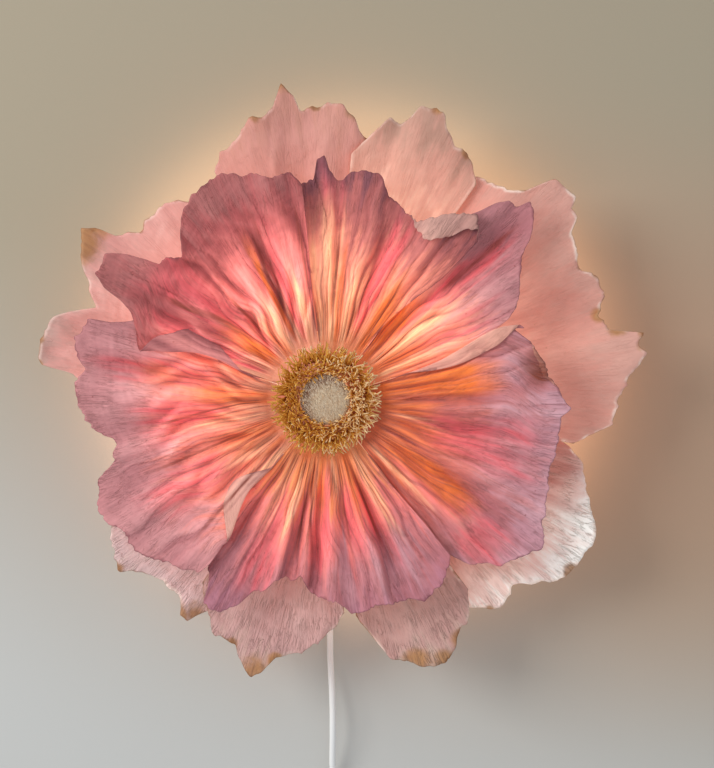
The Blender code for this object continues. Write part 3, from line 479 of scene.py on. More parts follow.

# Per petal: colours from the heart or, in the outer whorl, from the middle to the rim; folds as degrees,
# height, half width, start and end; the rim as degrees and radius; burns as degrees, radius and size; strokes
# of dye and of painted shade (shade dims the glow, dark is a painted shadow along the fold valleys) as start,
# end, half width, strength and degrees, with the degrees at the end too where one leans.
innerPetals = {
    "petalTopLeft": {
        "node": "inner_petal_1", "sector": (97, 162), "sides": (1, 1.2),
        "glow": 0.74,
        "colours": ((248, 174, 146), (240, 134, 130), (188, 98, 98), (182, 110, 108)),
        "folds": (
            (104, 4, 3, 55, 190), (113.5, -6, 3, 55, 170), (121, 4, 4, 60, 175), (133, -5, 4, 60, 160),
            (143, 4, 4, 60, 215), (151, -5, 3, 60, 190),
        ),
        "rim": (
            (96, 182), (99, 195), (104, 194), (107, 200), (111, 203), (114, 210), (119, 207), (123, 207),
            (128, 195), (132, 182), (134, 171), (141, 181), (143, 203), (146, 218), (149, 221), (151, 219),
            (153, 208), (154, 190), (155.5, 180), (157.5, 170), (160, 160), (163, 142), (166, 128),
        ),
        "side fold": {"width": 29, "bend": 2.4, "grows": (52, 130), "ends": (150, 182), "spread": 8},
        "underside": (176, 110, 112),
        "strokes": {
            "shade": ((95, 215, 9, 0.85, 146), (57, 170, 2, 0.9, 113.5)),
            "orange": ((52, 110, 5, 1, 142, 146), (45, 100, 5, 0.6, 128, 130), (60, 150, 1.4, 0.9, 116.5)),
            "rose": ((60, 190, 7, 0.8, 140, 142), (60, 160, 4, 0.7, 108, 112), (60, 170, 3, 0.8, 155, 154)),
            "cream": ((50, 120, 2.5, 0.5, 103, 105), (48, 110, 3, 0.4, 122, 121)),
            "dark": (
                (57, 170, 4, 0.6, 113.5), (60, 140, 1.6, 0.5, 133), (80, 172, 2.8, 0.7, 140, 149),
                (60, 170, 1.2, 0.4, 98, 99),
            ),
        },
    },
    "petalTop": {
        "node": "inner_petal_2", "sector": (52, 97), "sides": (1, -1),
        "glow": 0.5,
        "colours": ((230, 144, 106), (232, 140, 122), (184, 104, 101), (134, 80, 88)),
        "folds": (
            (60, 4, 3, 60, 175), (70, -5, 3, 55, 160), (78, 6, 3, 55, 180), (85, -7, 3, 55, 185),
            (90, 5, 2.5, 90, 208),
        ),
        "rim": (
            (46, 185), (51, 203), (55, 190), (60, 176), (64, 169), (69, 176), (73, 184), (76, 194), (81, 197),
            (84, 192), (87, 188), (89, 193), (90, 208), (92, 206), (93, 187), (97, 182),
        ),
        "rim roll": {"from": 45.5, "to": 67, "width": 23, "bend": 2.8},
        "underside": (196, 146, 136),
        "strokes": {
            "cream": ((45, 170, 6, 0.6, 88, 90), (45, 130, 4, 0.6, 75, 74), (50, 130, 2, 0.7, 94, 95)),
            "orange": ((50, 140, 3, 0.7, 82, 84), (48, 130, 5.5, 1, 54, 57)),
            "rose": ((70, 170, 4, 0.9, 68, 65), (110, 200, 3, 0.5, 86, 88)),
            "dark": ((60, 160, 1.2, 0.5, 85), (60, 140, 1.4, 0.4, 70), (60, 150, 1.3, 0.5, 56, 57)),
        },
    },
    "petalTopRight": {
        "node": "inner_petal_3", "sector": (18, 52), "sides": (-1, -1),
        "glow": 0.58,
        "colours": ((234, 138, 98), (238, 148, 124), (196, 134, 136), (188, 124, 128)),
        "folds": ((24, 3, 4, 60, 150), (34, 4, 4, 60, 190), (42.5, -6, 3.5, 125, 240), (49, 4, 3, 60, 200)),
        "rim": (
            (12, 118), (18, 130), (21, 144), (24, 171), (27, 183), (33, 194), (36, 203), (38, 220), (42, 239),
            (44, 244), (45, 231), (47, 230), (49, 219), (51, 204), (55, 182), (58, 165),
        ),
        "strokes": {
            "orange": ((45, 130, 5, 1, 48, 46), (45, 110, 5, 0.7, 30, 31)),
            "cream": ((50, 140, 3, 0.7, 38, 37), (50, 110, 2.5, 0.7, 24, 26)),
            "rose": ((80, 210, 4, 0.7, 42, 41), (80, 170, 4, 0.5, 28, 29)),
            "dark": ((135, 235, 1.8, 0.45, 42.5), (60, 150, 1.3, 0.7, 51, 54), (60, 130, 1.1, 0.4, 33)),
        },
    },
    "petalRight": {
        "node": "inner_petal_4", "sector": (-52, 18), "sides": (-1, 1),
        "glow": 0.28,
        "colours": ((212, 110, 76), (196, 106, 98), (198, 126, 128), (208, 156, 166)),
        "folds": (
            (11, 5, 3, 55, 170), (6, -5, 3, 55, 150), (-3, 3, 4, 60, 190), (-14, -5, 3, 55, 185),
            (-24, 4, 4, 60, 190), (-32, -4, 3, 60, 180), (-41, 4, 3, 55, 200),
        ),
        "rim": (
            (-53, 160), (-51, 172), (-49, 185), (-45, 195), (-44, 203), (-40, 209), (-37, 214), (-34, 221),
            (-28, 211), (-24, 203), (-15, 199), (-4, 199), (-2, 207), (2, 198), (7, 188), (15, 180),
            (17, 170), (19, 180), (20, 172),
        ),
        "side fold": {"width": 17, "bend": 1.5, "grows": (50, 140), "ends": (150, 187), "spread": 8.5},
        "rim roll": {"from": 0, "to": 19, "width": 4.5, "bend": 1.3},
        "underside": (222, 160, 144),
        "strokes": {
            "orange": (
                (45, 150, 8, 1, 10, 8), (60, 160, 6, 0.9, -34, -37), (60, 120, 6, 0.6, -19, -21),
                (45, 100, 5, 0.7, -5),
            ),
            "shade": ((95, 180, 11, 0.8, -8),),
            "rose": ((90, 190, 9, 0.6, -15), (80, 180, 6, 0.5, -38), (160, 215, 6, 0.8, -42)),
            "cream": ((60, 130, 2.5, 0.6, -45), (60, 110, 1.5, 0.5, -11)),
            "lavender": ((140, 205, 14, 0.8, -12, -16), (150, 190, 6, 0.6, 10), (150, 205, 5, 0.5, -36, -38)),
            "dark": (
                (174, 215, 13, 1, 9), (50, 110, 1, 0.5, 0), (55, 140, 1, 0.5, -15),
                (55, 150, 1, 0.4, -24, -25), (60, 160, 1.2, 0.4, -39),
            ),
        },
    },
    "petalBottom": {
        "node": "inner_petal_5", "sector": (-128, -52), "sides": (-1, 1),
        "glow": 0.35,
        "colours": ((232, 140, 92), (222, 120, 116), (186, 116, 122), (188, 124, 138)),
        "folds": (
            (-60, 4, 3, 55, 180), (-67, -6, 3, 55, 170), (-75, 5, 3, 55, 175), (-81, -6, 2.5, 55, 180),
            (-86.5, 7, 2.5, 60, 170), (-93, -7, 3, 55, 165), (-101, -5, 3, 55, 155), (-108, 5, 3, 60, 165),
            (-118, 4, 3.5, 60, 190),
        ),
        "rim": (
            (-131, 149), (-126, 165), (-122, 183), (-121, 197), (-119, 202), (-116, 202), (-114, 191),
            (-110, 171), (-103, 155), (-98, 153), (-94, 163), (-87, 170), (-83, 181), (-70, 181), (-64, 189),
            (-60, 186), (-55, 179), (-51, 168),
        ),
        "strokes": {
            "cream": (
                (50, 120, 1.6, 0.6, -84), (50, 130, 3, 0.7, -62, -63), (60, 130, 2.5, 0.6, -107),
                (60, 130, 2.5, 0.5, -117, -116),
            ),
            "orange": ((45, 110, 4, 0.8, -72), (45, 100, 3, 0.7, -93), (45, 90, 4, 0.6, -108, -107)),
            "rose": (
                (60, 150, 4, 0.7, -90), (75, 140, 3.5, 0.9, -77), (80, 180, 6, 0.6, -112),
                (80, 150, 5, 0.7, -68),
            ),
            "shade": ((85, 120, 3, 0.4, -77), (110, 210, 10, 0.8, -118), (112, 190, 11, 0.8, -64)),
            "lavender": ((120, 190, 9, 0.6, -66), (110, 185, 3, 0.7, -84)),
            "dark": (
                (55, 150, 1.3, 0.6, -69), (55, 150, 1.2, 0.6, -97), (55, 150, 1, 0.5, -80),
                (60, 150, 1.2, 0.5, -101), (60, 130, 1, 0.4, -57),
            ),
        },
    },
    "petalLeft": {
        "node": "inner_petal_6", "sector": (162, 232), "sides": (-1, 1),
        "glow": 0.54,
        "colours": ((232, 150, 120), (238, 136, 120), (214, 146, 148), (206, 140, 142)),
        "folds": (
            (171, -4, 3, 60, 200), (179, 4, 4, 60, 200), (189, -4, 3, 60, 185), (196, 4, 3, 60, 180),
            (203, -6, 3, 60, 195), (212, 4, 4, 60, 200), (221, -4, 3, 60, 180),
        ),
        "rim": (
            (156, 170), (158, 178), (160, 190), (161, 212), (166, 218), (168, 216), (172, 206), (176, 211),
            (180, 208), (185, 201), (188, 196), (190, 183), (196, 184), (199, 200), (206, 212), (210, 211),
            (213, 201), (218, 203), (221, 201), (226, 190), (231, 185), (234, 181), (235, 168),
        ),
        "side fold": {"width": 21, "bend": 1.3, "grows": (62, 112), "ends": (118, 154), "spread": 8},
        "underside": (196, 146, 136),
        "strokes": {
            "orange": (
                (45, 118, 6, 0.8, 179, 177), (130, 168, 4, 0.45, 171), (45, 110, 8, 0.7, 207, 206),
                (45, 100, 4, 0.6, 222),
            ),
            "rose": ((90, 170, 9, 0.7, 186, 187), (100, 180, 7, 0.6, 212), (100, 200, 5, 0.5, 170, 172)),
            "shade": ((90, 135, 6, 0.4, 217),),
            "cream": ((55, 130, 2, 0.6, 192), (60, 110, 2.5, 0.6, 215), (55, 140, 2.5, 0.8, 229)),
            "dark": (
                (70, 180, 1.3, 0.7, 202.5), (60, 170, 1.2, 0.5, 182, 191), (70, 160, 1.1, 0.4, 170, 171),
                (60, 160, 1.1, 0.4, 211, 206), (60, 160, 1.2, 0.5, 225, 227),
            ),
        },
    },
}
outerPetals = {
    "outerPetalTop": {
        "node": "outer_petal_1", "sector": (79.5, 118), "sides": (-1, 0),
        "glow": 0.8, "light edge": 0.3, "stain": 0.7,
        "colours": ((206, 146, 130), (208, 148, 138), (202, 144, 130)),
        "folds": ((90, 4, 4, 100, 250), (99, -4, 4, 120, 270), (108, 4, 4, 110, 240)),
        "rim": (
            (74, 205), (78, 222), (80, 226), (83, 233), (84, 244), (87, 256), (92, 253), (95, 251), (96, 262),
            (98, 276), (100, 256), (102, 251), (105, 248), (108, 240), (113, 232), (116, 218),
        ),
        "burns": ((98, 276, 8), (84, 252, 7), (79, 232, 8), (92, 254, 4), (104, 250, 4)),
    },
    "outerPetalTopRight": {
        "node": "outer_petal_2", "sector": (58, 79.5), "sides": (1, 1),
        "glow": 1.65, "light edge": 0.3, "stain": 0.5,
        "colours": ((248, 206, 186), (198, 148, 134), (172, 134, 120)),
        "folds": ((64, -3, 3, 110, 250), (72, 4, 3, 110, 262)),
        "rim": (
            (55, 228), (58, 242), (61, 246), (63, 246), (66, 256), (67, 262), (69, 268), (72, 265), (73, 256),
            (75, 246), (77, 250), (79, 238), (81, 228), (84, 212),
        ),
        "burns": ((69, 268, 4), (60, 246, 4)),
    },
    "outerPetalRight": {
        "node": "outer_petal_3", "sector": (-7, 58), "sides": (1, -1),
        "glow": 1.15, "light edge": 0.75, "stain": 0.8,
        "colours": ((232, 180, 164), (206, 148, 136), (202, 154, 142)),
        "folds": (
            (3, -4, 4, 110, 260), (12, 4, 3, 110, 275), (22, -4, 4, 110, 255), (32, 4, 4, 110, 255),
            (40, -5, 4, 130, 275), (48, 4, 3, 110, 240),
        ),
        "rim": (
            (-10, 218), (-5, 245), (1, 253), (5, 264), (8, 278), (10, 274), (12, 281), (13, 264), (14, 252),
            (17, 247), (20, 256), (24, 258), (27, 248), (29, 246), (34, 255), (36, 268), (38, 266), (39, 277),
            (42, 276), (44, 272), (46, 252), (49, 239), (56, 235), (61, 215),
        ),
        "burns": ((12, 281, 5), (10, 276, 4), (14, 258, 6), (17, 248, 5), (25, 258, 3)),
    },
    "outerPetalLowerRight": {
        "node": "outer_petal_4", "sector": (-57, -7), "sides": (-1, -1),
        "glow": 1.05, "light edge": 0.9, "stain": 0.3, "relief": 1.3,
        "colours": ((188, 130, 120), (236, 206, 198), (255, 252, 248)),
        "folds": (
            (-18, -3, 4, 110, 235), (-27, 4, 4, 110, 260), (-36, -4, 3, 110, 255), (-45, 5, 3, 110, 230),
        ),
        "rim": (
            (-62, 200), (-55, 219), (-52, 230), (-50, 234), (-47, 232), (-45, 228), (-43, 235), (-40, 244),
            (-38, 256), (-35, 259), (-27, 261), (-24, 253), (-18, 238), (-14, 228), (-9, 204), (-4, 190),
        ),
        "burns": ((-35, 259, 5), (-52, 230, 3)),
        "strokes": {
            "rose": ((140, 240, 10, 1, -11, -17), (150, 214, 12, 0.8, -48)),
        },
    },
    "outerPetalLowRight": {
        "node": "outer_petal_5", "sector": (-82, -57), "sides": (0, 1),
        "glow": 0.8, "light edge": 0.5, "stain": 0.9, "relief": 1.3,
        "colours": ((194, 144, 136), (186, 146, 140), (196, 166, 154)),
        "folds": ((-68, 4, 3, 110, 245),),
        "rim": (
            (-82, 188), (-79, 209), (-76, 228), (-72, 238), (-68, 244), (-65, 249), (-61, 234), (-58, 229),
            (-56, 221), (-53, 205),
        ),
        "burns": ((-65, 249, 9), (-71, 240, 9), (-61, 236, 6)),
    },
    "outerPetalLowLeft": {
        "node": "outer_petal_6", "sector": (-119, -84.5), "sides": (1, 0),
        "glow": 0.85, "light edge": 0.3, "stain": 0.7, "relief": 1.3,
        "colours": ((200, 152, 148), (192, 152, 149), (198, 168, 156)),
        "folds": ((-95, 4, 3.5, 110, 225), (-105, -4, 3, 120, 248), (-112, 3, 3, 110, 225)),
        "rim": (
            (-124, 190), (-120, 206), (-118, 213), (-116, 225), (-110, 227), (-109, 234), (-107, 241),
            (-105, 248), (-103, 239), (-101, 226), (-96, 221), (-91, 208), (-87, 197), (-85, 184),
        ),
        "burns": ((-105, 250, 13), (-111, 228, 5), (-101, 230, 5)),
    },
    "outerPetalLowerLeft": {
        "node": "outer_petal_7", "sector": (-150, -119), "sides": (0, -1),
        "glow": 0.9, "light edge": 0.5, "stain": 0.7, "relief": 1.3,
        "colours": ((200, 160, 158), (204, 174, 174), (212, 190, 182)),
        "folds": ((-128, -3, 3, 110, 210), (-137, 4, 4, 110, 225)),
        "rim": (
            (-152, 205), (-148, 220), (-143, 229), (-140, 232), (-137, 220), (-132, 210), (-127, 211),
            (-125, 218), (-124, 225), (-122, 224), (-121, 215), (-119, 209), (-114, 195),
        ),
        "burns": ((-124, 226, 8), (-121, 218, 8), (-141, 232, 4)),
    },
    "outerPetalLeft": {
        "node": "outer_petal_8", "sector": (125, 176), "sides": (0, 0),
        "glow": 1.05, "light edge": 0.35, "stain": 0.8,
        "colours": ((222, 164, 156), (212, 158, 151), (184, 148, 140)),
        "folds": (
            (133, 4, 4, 110, 220), (144, -5, 3, 110, 257), (153, 4, 3, 110, 235), (165, -4, 4, 110, 250),
        ),
        "rim": (
            (124, 208), (129, 219), (133, 218), (138, 217), (142, 229), (143, 246), (145, 257), (149, 246),
            (152, 235), (155, 226), (157, 216), (158, 214), (160, 229), (163, 244), (168, 253), (173, 250),
            (174, 223), (177, 205),
        ),
        "burns": ((145, 258, 15), (147, 250, 13), (143, 244, 8), (168, 253, 3), (173, 250, 3)),
    },
}


def gatherHeights(petal, whorl, seed):
    draw = random.Random(seed)
    right, left = petal["sector"]
    count = max(2, round((left - right) / gatherDegrees))
    return np.array([(-1) ** i * whorl["gather"] * draw.uniform(0.6, 1.1) for i in range(2 * count)])


def sheetDepth(whorl, petal, heights, degrees, radius, share, span):
    # the same forms as the plain part, so the sheet lies where that one does
    pastTab = np.maximum(radius - whorl["tab end"], 0)
    depth = whorl["cup"] * (pastTab / (whorl["reach"] - whorl["tab end"])) ** whorl["cup power"]
    depth = depth - whorl["dip"] * ease(pastTab, 0, dipRun)
    waved = ease(radius, *whorl["wave zone"])
    for count, height, phase in whorl["waves"]:
        depth = depth + waved * height * np.sin(count * np.radians(degrees) + phase)
    raised = ease(pastTab, *liftRun) * whorl["lift"]
    for side, distance in zip(petal["sides"], (share * span, (1 - share) * span)):
        depth = depth + side * raised * (1 - ease(distance, 0, overlapDegrees))
    inside = ease(share * span, *fadeDegrees) * ease((1 - share) * span, *fadeDegrees)
    riseStart, riseEnd, fallStart, fallEnd = whorl["gather zone"]
    gathered = ease(radius, riseStart, riseEnd) * between(1, 0.2, ease(radius, fallStart, fallEnd))
    place = share * (len(heights) - 1)
    first = np.minimum(place.astype(int), len(heights) - 2)
    wave = between(heights[first], heights[first + 1], ease(place - first, 0, 1))
    form = inside * gathered * wave
    for foldDegrees, height, halfWidth, start, end in petal["folds"]:
        ramp = ease(radius, start, start + foldRise) * between(1, 0.4, ease(radius, end - foldFall, end))
        form = form + inside * ramp * height * np.exp(-((degrees - foldDegrees) / halfWidth) ** 2)
    return depth + form, form


def strokeMasks(petal, degrees, radius, seed):
    # how much of each dye and of the painted shade lies at each place, drawn as strokes of the brush out from
    # the heart;
    # shade dims the glow and dark is a painted shadow in the fold valleys
    labels = ("orange", "cream", "rose", "lavender", "dark", "shade")
    masks = {label: np.zeros_like(degrees) for label in labels}
    wander = 1.1 * ripple(degrees / 5, radius / 38, seed)
    wander = wander + 0.45 * ripple(degrees / 2.1, radius / 16, seed + 1)
    for dye, strokes in petal.get("strokes", {}).items():
        for start, end, width, strength, *ways in strokes:
            line = between(ways[0], ways[-1], (radius - start) / (end - start))
            reach = end + 10 * ripple(degrees / 2.4, seed + end, seed + 2)
            if dye == "dark":
                width = width * 0.5
            mask = ease(np.exp(-((degrees + wander * min(1, width / 3) - line) / width) ** 2), 0.12, 0.8)
            mask = mask * ease(radius, start - strokeRise, start + strokeRise)
            mask = mask * (1 - ease(radius, reach - strokeFall[0], reach + strokeFall[1]))
            masks[dye] = np.maximum(masks[dye], mask * strength)
    return masks


def pressedFold(line, seed):
    # which fold a place lies in: the share of the way across it, and two numbers of the fold's own
    edges, lengths, owns = np.random.default_rng(seed).uniform(0, 1, (3, 128))
    cell = np.floor(line).astype(int)

    def border(cell):
        return cell + 0.6 * (edges[cell % 128] - 0.5)

    cell = cell - (line < border(cell))
    cell = cell + (line >= border(cell + 1))
    low = border(cell)
    high = border(cell + 1)
    return np.clip((line - low) / (high - low), 0, 1), lengths[cell % 128], owns[cell % 128]


def pressedFolds(whorl, degrees, radius, seed):
    # sharp folds that run together at the heart: a slow rise, a steep fall, and a valley between; tone is
    # painted shade, lighter at the crest and darker in the valley, with a tone of each fold's own, and valley
    # is a painted shadow along the valley
    bent = degrees + 3.0 * ripple(radius / 48, degrees / 14, seed)
    bent = bent + 1.1 * ripple(radius / 19, degrees / 6, seed + 1)
    height, tone, valleyShadow = (np.zeros_like(degrees) for _ in range(3))
    start = whorl["fold start"]
    for number, (pitch, rise, end, strength) in enumerate(whorl["pressed folds"]):
        share, length, own = pressedFold((bent + 1.7 * number) / pitch, seed + 2 + number)
        reach = end * between(0.62, 1.1, length)
        strong = ease(radius, start, start + 16) * (1 - ease(radius, reach - 60, reach))
        slope = np.where(share < foldPeak, share / foldPeak, (1 - share) / (1 - foldPeak))
        height = height + rise * strong * between(0.5, 1.1, own) * (slope - 0.5)
        tone = tone + strength * strong * (slope - 0.5 + 0.8 * (own - 0.5))
        aside = np.minimum(share, 1 - share) * pitch * radius * math.pi / 180
        valleyShadow = np.maximum(valleyShadow, strength * strong * np.exp(-(aside / valleyWidth) ** 2))
    return height, tone, valleyShadow


def turnOver(past, bend):
    # paper that is past the line of a fold: how far out from that line it comes, and how high it lies
    turned = np.minimum(past / bend, math.pi)
    return bend * np.sin(turned) - np.maximum(past - math.pi * bend, 0), bend * (1 - np.cos(turned))


def foldSide(petal, share, span, degrees, radius):
    # a strip along the left side is folded over towards the viewer and shows the paper's underside
    if "side fold" not in petal:
        return degrees, share, 0, np.zeros_like(degrees)
    fold = petal["side fold"]
    shown = ease(radius, *fold["grows"]) * (1 - ease(radius, *fold["ends"]))
    degrees = degrees + fold["spread"] * shown * ease(share, 0.4, 0.8)
    fromSide = (1 - share) * span * math.pi / 180 * radius
    width = fold["width"] * shown
    past = np.maximum(width - fromSide, 0)
    reach, raised = turnOver(past, fold["bend"] * ease(width, 0, 3) + 0.01)
    shift = np.degrees((past - reach) / radius)
    # the fold's line is the side that lies over or under the next petal
    inset = np.degrees(width / radius)
    share = np.clip(share + (inset - shift) / span, 0, 1)
    return degrees - shift, share, raised, ease(past, 0.8, 2.5)


def rollRim(petal, rimDegrees, seed):
    # how much paper is rolled over at the rim, towards the viewer, and round what radius
    over = np.zeros_like(rimDegrees)
    bend = np.full_like(rimDegrees, 0.01)
    if "rim roll" in petal:
        roll = petal["rim roll"]
        part = ease(rimDegrees, roll["from"], roll["from"] + 8)
        part = part * (1 - ease(rimDegrees, roll["to"] - 11, roll["to"]))
        uneven = 1 + 0.15 * ripple(rimDegrees / 3, 0.5, seed)
        over = part * (roll["width"] + math.pi * roll["bend"]) * uneven
        bend = np.maximum(bend, roll["bend"] * ease(part, 0, 0.25))
    return over, bend


def ripples(line, waves, seed):
    # noise along a line: the height, the run and the row of each wave
    return sum(height * ripple(line / run, row, seed + k) for k, (height, run, row) in enumerate(waves))


def rimLine(petal, whorl, share, seed):
    # the torn rim: the degrees and the radius of each of its places
    rim = np.array(petal["rim"], float)
    rimDegrees = between(rim[0, 0], rim[-1, 0], share)
    soft = np.linspace(-1, 1, 9) * whorl["soften"]
    weights = np.exp(-np.linspace(-1.5, 1.5, 9) ** 2)
    radii = (w * np.interp(rimDegrees + s, rim[:, 0], rim[:, 1]) for w, s in zip(weights, soft))
    jag = ripples(rimDegrees, tornJags, seed)
    if whorl is outerWhorl:
        jag = jag * 0.75 + 0.8 - 2.0 * np.abs(ripple(rimDegrees / 1.9, 5.5, seed + 3)) ** 0.6
    return rimDegrees, sum(radii) / weights.sum() + whorl["tear"] * jag


def fineForms(whorl, pleatLine, degrees, radius, folds, seed):
    # pleats that run together at the heart, then creases and crinkles further out
    pleats = 1 - 2 * np.abs(ripple(pleatLine, radius / 70, seed))
    pleats = pleats + 0.5 * ripple(pleatLine * 2.3, radius / 45, seed + 1)
    pleats = pleats * ease(radius, whorl["tab end"] - 2, whorl["tab end"] + 18)
    pleats = pleats * between(1, 0.35, ease(radius, 105, 185))
    creases = ripple(degrees / 4.5 + radius / 60, radius / 30, seed + 2)
    creases = creases + 0.6 * ripple(degrees / 2 - radius / 40, radius / 14, seed + 3)
    crinkles = ripple(degrees * radius * 0.0175 / 4.2, radius / 5.5, seed + 4)
    outward = ease(radius, whorl["tab end"] + 15, whorl["tab end"] + 70)
    wrinkles = whorl["crease"] * creases + whorl["crinkle"] * crinkles
    return whorl["pleat"] * pleats + folds + outward * wrinkles


def makeSheet(petal, whorl, seed):
    rim = petal["rim"]
    tabStart, tabEnd = whorl["tab start"], whorl["tab end"]
    share = np.linspace(0, 1, round((rim[-1][0] - rim[0][0]) * whorl["columns per degree"]) + 1)[None, :]
    rimDegrees, rimRadius = rimLine(petal, whorl, share, seed + 20)
    over, bend = rollRim(petal, rimDegrees, seed + 30)
    tabRows = np.linspace(0, 1, whorl["tab rows"] + 1)[:-1]
    along = np.concatenate([np.zeros(len(tabRows)), np.linspace(0, 1, whorl["rows"] + 1)])[:, None]
    flat = rimRadius - bend * (over > 0.01) - tabEnd
    run = along * (flat + over)
    past = np.maximum(run - flat, 0)
    reach, roll = turnOver(past, bend)
    radius = tabEnd + np.minimum(run, flat) + reach
    radius[:len(tabRows)] = between(tabStart, tabEnd, tabRows)[:, None]
    reached = np.clip((radius - tabEnd) / (rimRadius - tabEnd), 0, 1)
    swing = ease(reached, *swingRun)
    right, left = petal["sector"][0] + sectorGap, petal["sector"][1] - sectorGap
    degrees = between(between(right, left, share), rimDegrees, swing)
    span = between(left - right, rim[-1][0] - rim[0][0], swing)
    sheetShare = np.broadcast_to(share, degrees.shape)
    degrees, share, raised, folded = foldSide(petal, sheetShare, span, degrees, radius)
    heights = gatherHeights(petal, whorl, petal["seed"])
    depth, form = sheetDepth(whorl, petal, heights, degrees, radius, share, span)
    foldHeight, tone, lines = pressedFolds(whorl, degrees, radius, seed + 40)
    fine = fineForms(whorl, share * (left - right) / pleatDegrees, degrees, radius, foldHeight, seed + 3)
    quiet = ease(share * span, *quietRun) * ease((1 - share) * span, *quietRun)
    fromRim = rimRadius - radius
    ruffled = whorl["ruffle"] * (1 - ease(fromRim, 0, ruffleReach))
    ruffle = ruffled * ripples(rimDegrees, rimRuffles, seed + 8)
    depth = depth + fine * between(0.35, 1, quiet) + ruffle
    lip = whorl["lip"] * ripple(rimDegrees / 3.4, 7.5, seed + 10) * (1 - ease(fromRim, 0, lipReach))
    depth = depth + lip + roll * (over > 0.01) + whorl["tab"] + raised
    x = radius * np.cos(np.radians(degrees))
    y = radius * np.sin(np.radians(degrees))
    sideEdge = np.minimum(sheetShare, 1 - sheetShare) * span * np.pi / 180 * radius
    under = np.maximum(ease(past, 1, 4), folded)
    burnt = np.zeros_like(degrees)
    for tipDegrees, tipRadius, size in petal.get("burns", ()):
        tip = math.radians(tipDegrees)
        away = np.hypot(x - tipRadius * math.cos(tip), y - tipRadius * math.sin(tip))
        burnt = np.maximum(burnt, 1 - ease(away, 0, size * burnReach))
    paper = np.stack([sheetShare * math.radians(rim[-1][0] - rim[0][0]) * 2.0, radius / 100], axis=-1)
    return world(x, y, depth), paper, strokeMasks(petal, degrees, radius, seed), {
        "edge": np.minimum(fromRim, sideEdge),
        # crease: the height of the folds, also used as painted shade and painted glow
        "crease": np.clip(0.5 + form / 16 + fine / 14 + tone * 0.3, 0, 1),
        "radius": radius,
        "under": under,
        "lines": lines * (1 - under),
        "burnt": burnt,
    }


def paintPoints(mesh, label, values):
    made = mesh.color_attributes.new(name=label, type="FLOAT_COLOR", domain="POINT")
    made.data.foreach_set("color", np.asarray(values).astype(np.float32).ravel())


def meshFromGrid(name, points, paper, attributes):
    rows, columns = points.shape[:2]
    index = np.arange(rows * columns).reshape(rows, columns)
    corners = np.stack([index[:-1, :-1], index[:-1, 1:], index[1:, 1:], index[1:, :-1]], axis=-1)
    mesh = bpy.data.meshes.new(name)
    mesh.from_pydata(points.reshape(-1, 3).tolist(), [], corners.reshape(-1, 4).tolist())
    loops = np.empty(len(mesh.loops), dtype=np.int64)
    mesh.loops.foreach_get("vertex_index", loops)
    layer = mesh.uv_layers.new(name="paper")
    layer.data.foreach_set("uv", paper.reshape(-1, 2)[loops].astype(np.float32).ravel())
    for label, channels in attributes.items():
        values = [np.broadcast_to(channel, (rows, columns)) for channel in channels]
        paintPoints(mesh, label, np.stack(values, axis=-1))
    mesh.shade_smooth()
    return mesh


paperSettings = {
    "mottle wander": 0.5,
    "streak wander": 0.35,
    "wide pitch": 15.0,
    "narrow pitch": 42.0,
    "narrow strength": 0.7,
    "valley shadow mix": 0.4,
    "valley shadow strength": 0.38,
    "shade tint powers": (0.7, 1.1, 1.0),
    "speck scale": 16.0,
    "light edge run": (0.6, 4.0),
    "scorch wander": 1.6,
    "scorch strength": 0.85,
    "stain": 0.7,
    "stain widths": (3.5, 2.5, 8.0),
    "bump": 0.0014,
}
# dye colours, with painted light among them: dark is painted shade for the fold valleys and creases, the pale
# edge colour is a painted highlight, and light through is the lamp's light through the paper
dyesAndPaintedLight = {
    "orange": paint(228, 116, 58),
    "cream": paint(248, 184, 142),
    "rose": paint(236, 104, 110),
    "lavender": paint(202, 144, 152),
    "blush": paint(190, 134, 126),
    "dark": paint(142, 72, 56),
    "speck": paint(140, 56, 54),
    "inner stain": paint(128, 70, 76),
    "outer stain": paint(138, 92, 56),
    "scorch": paint(172, 124, 74),
    "rim highlight": paint(240, 220, 208),
    "light through": paint(255, 236, 218),
}


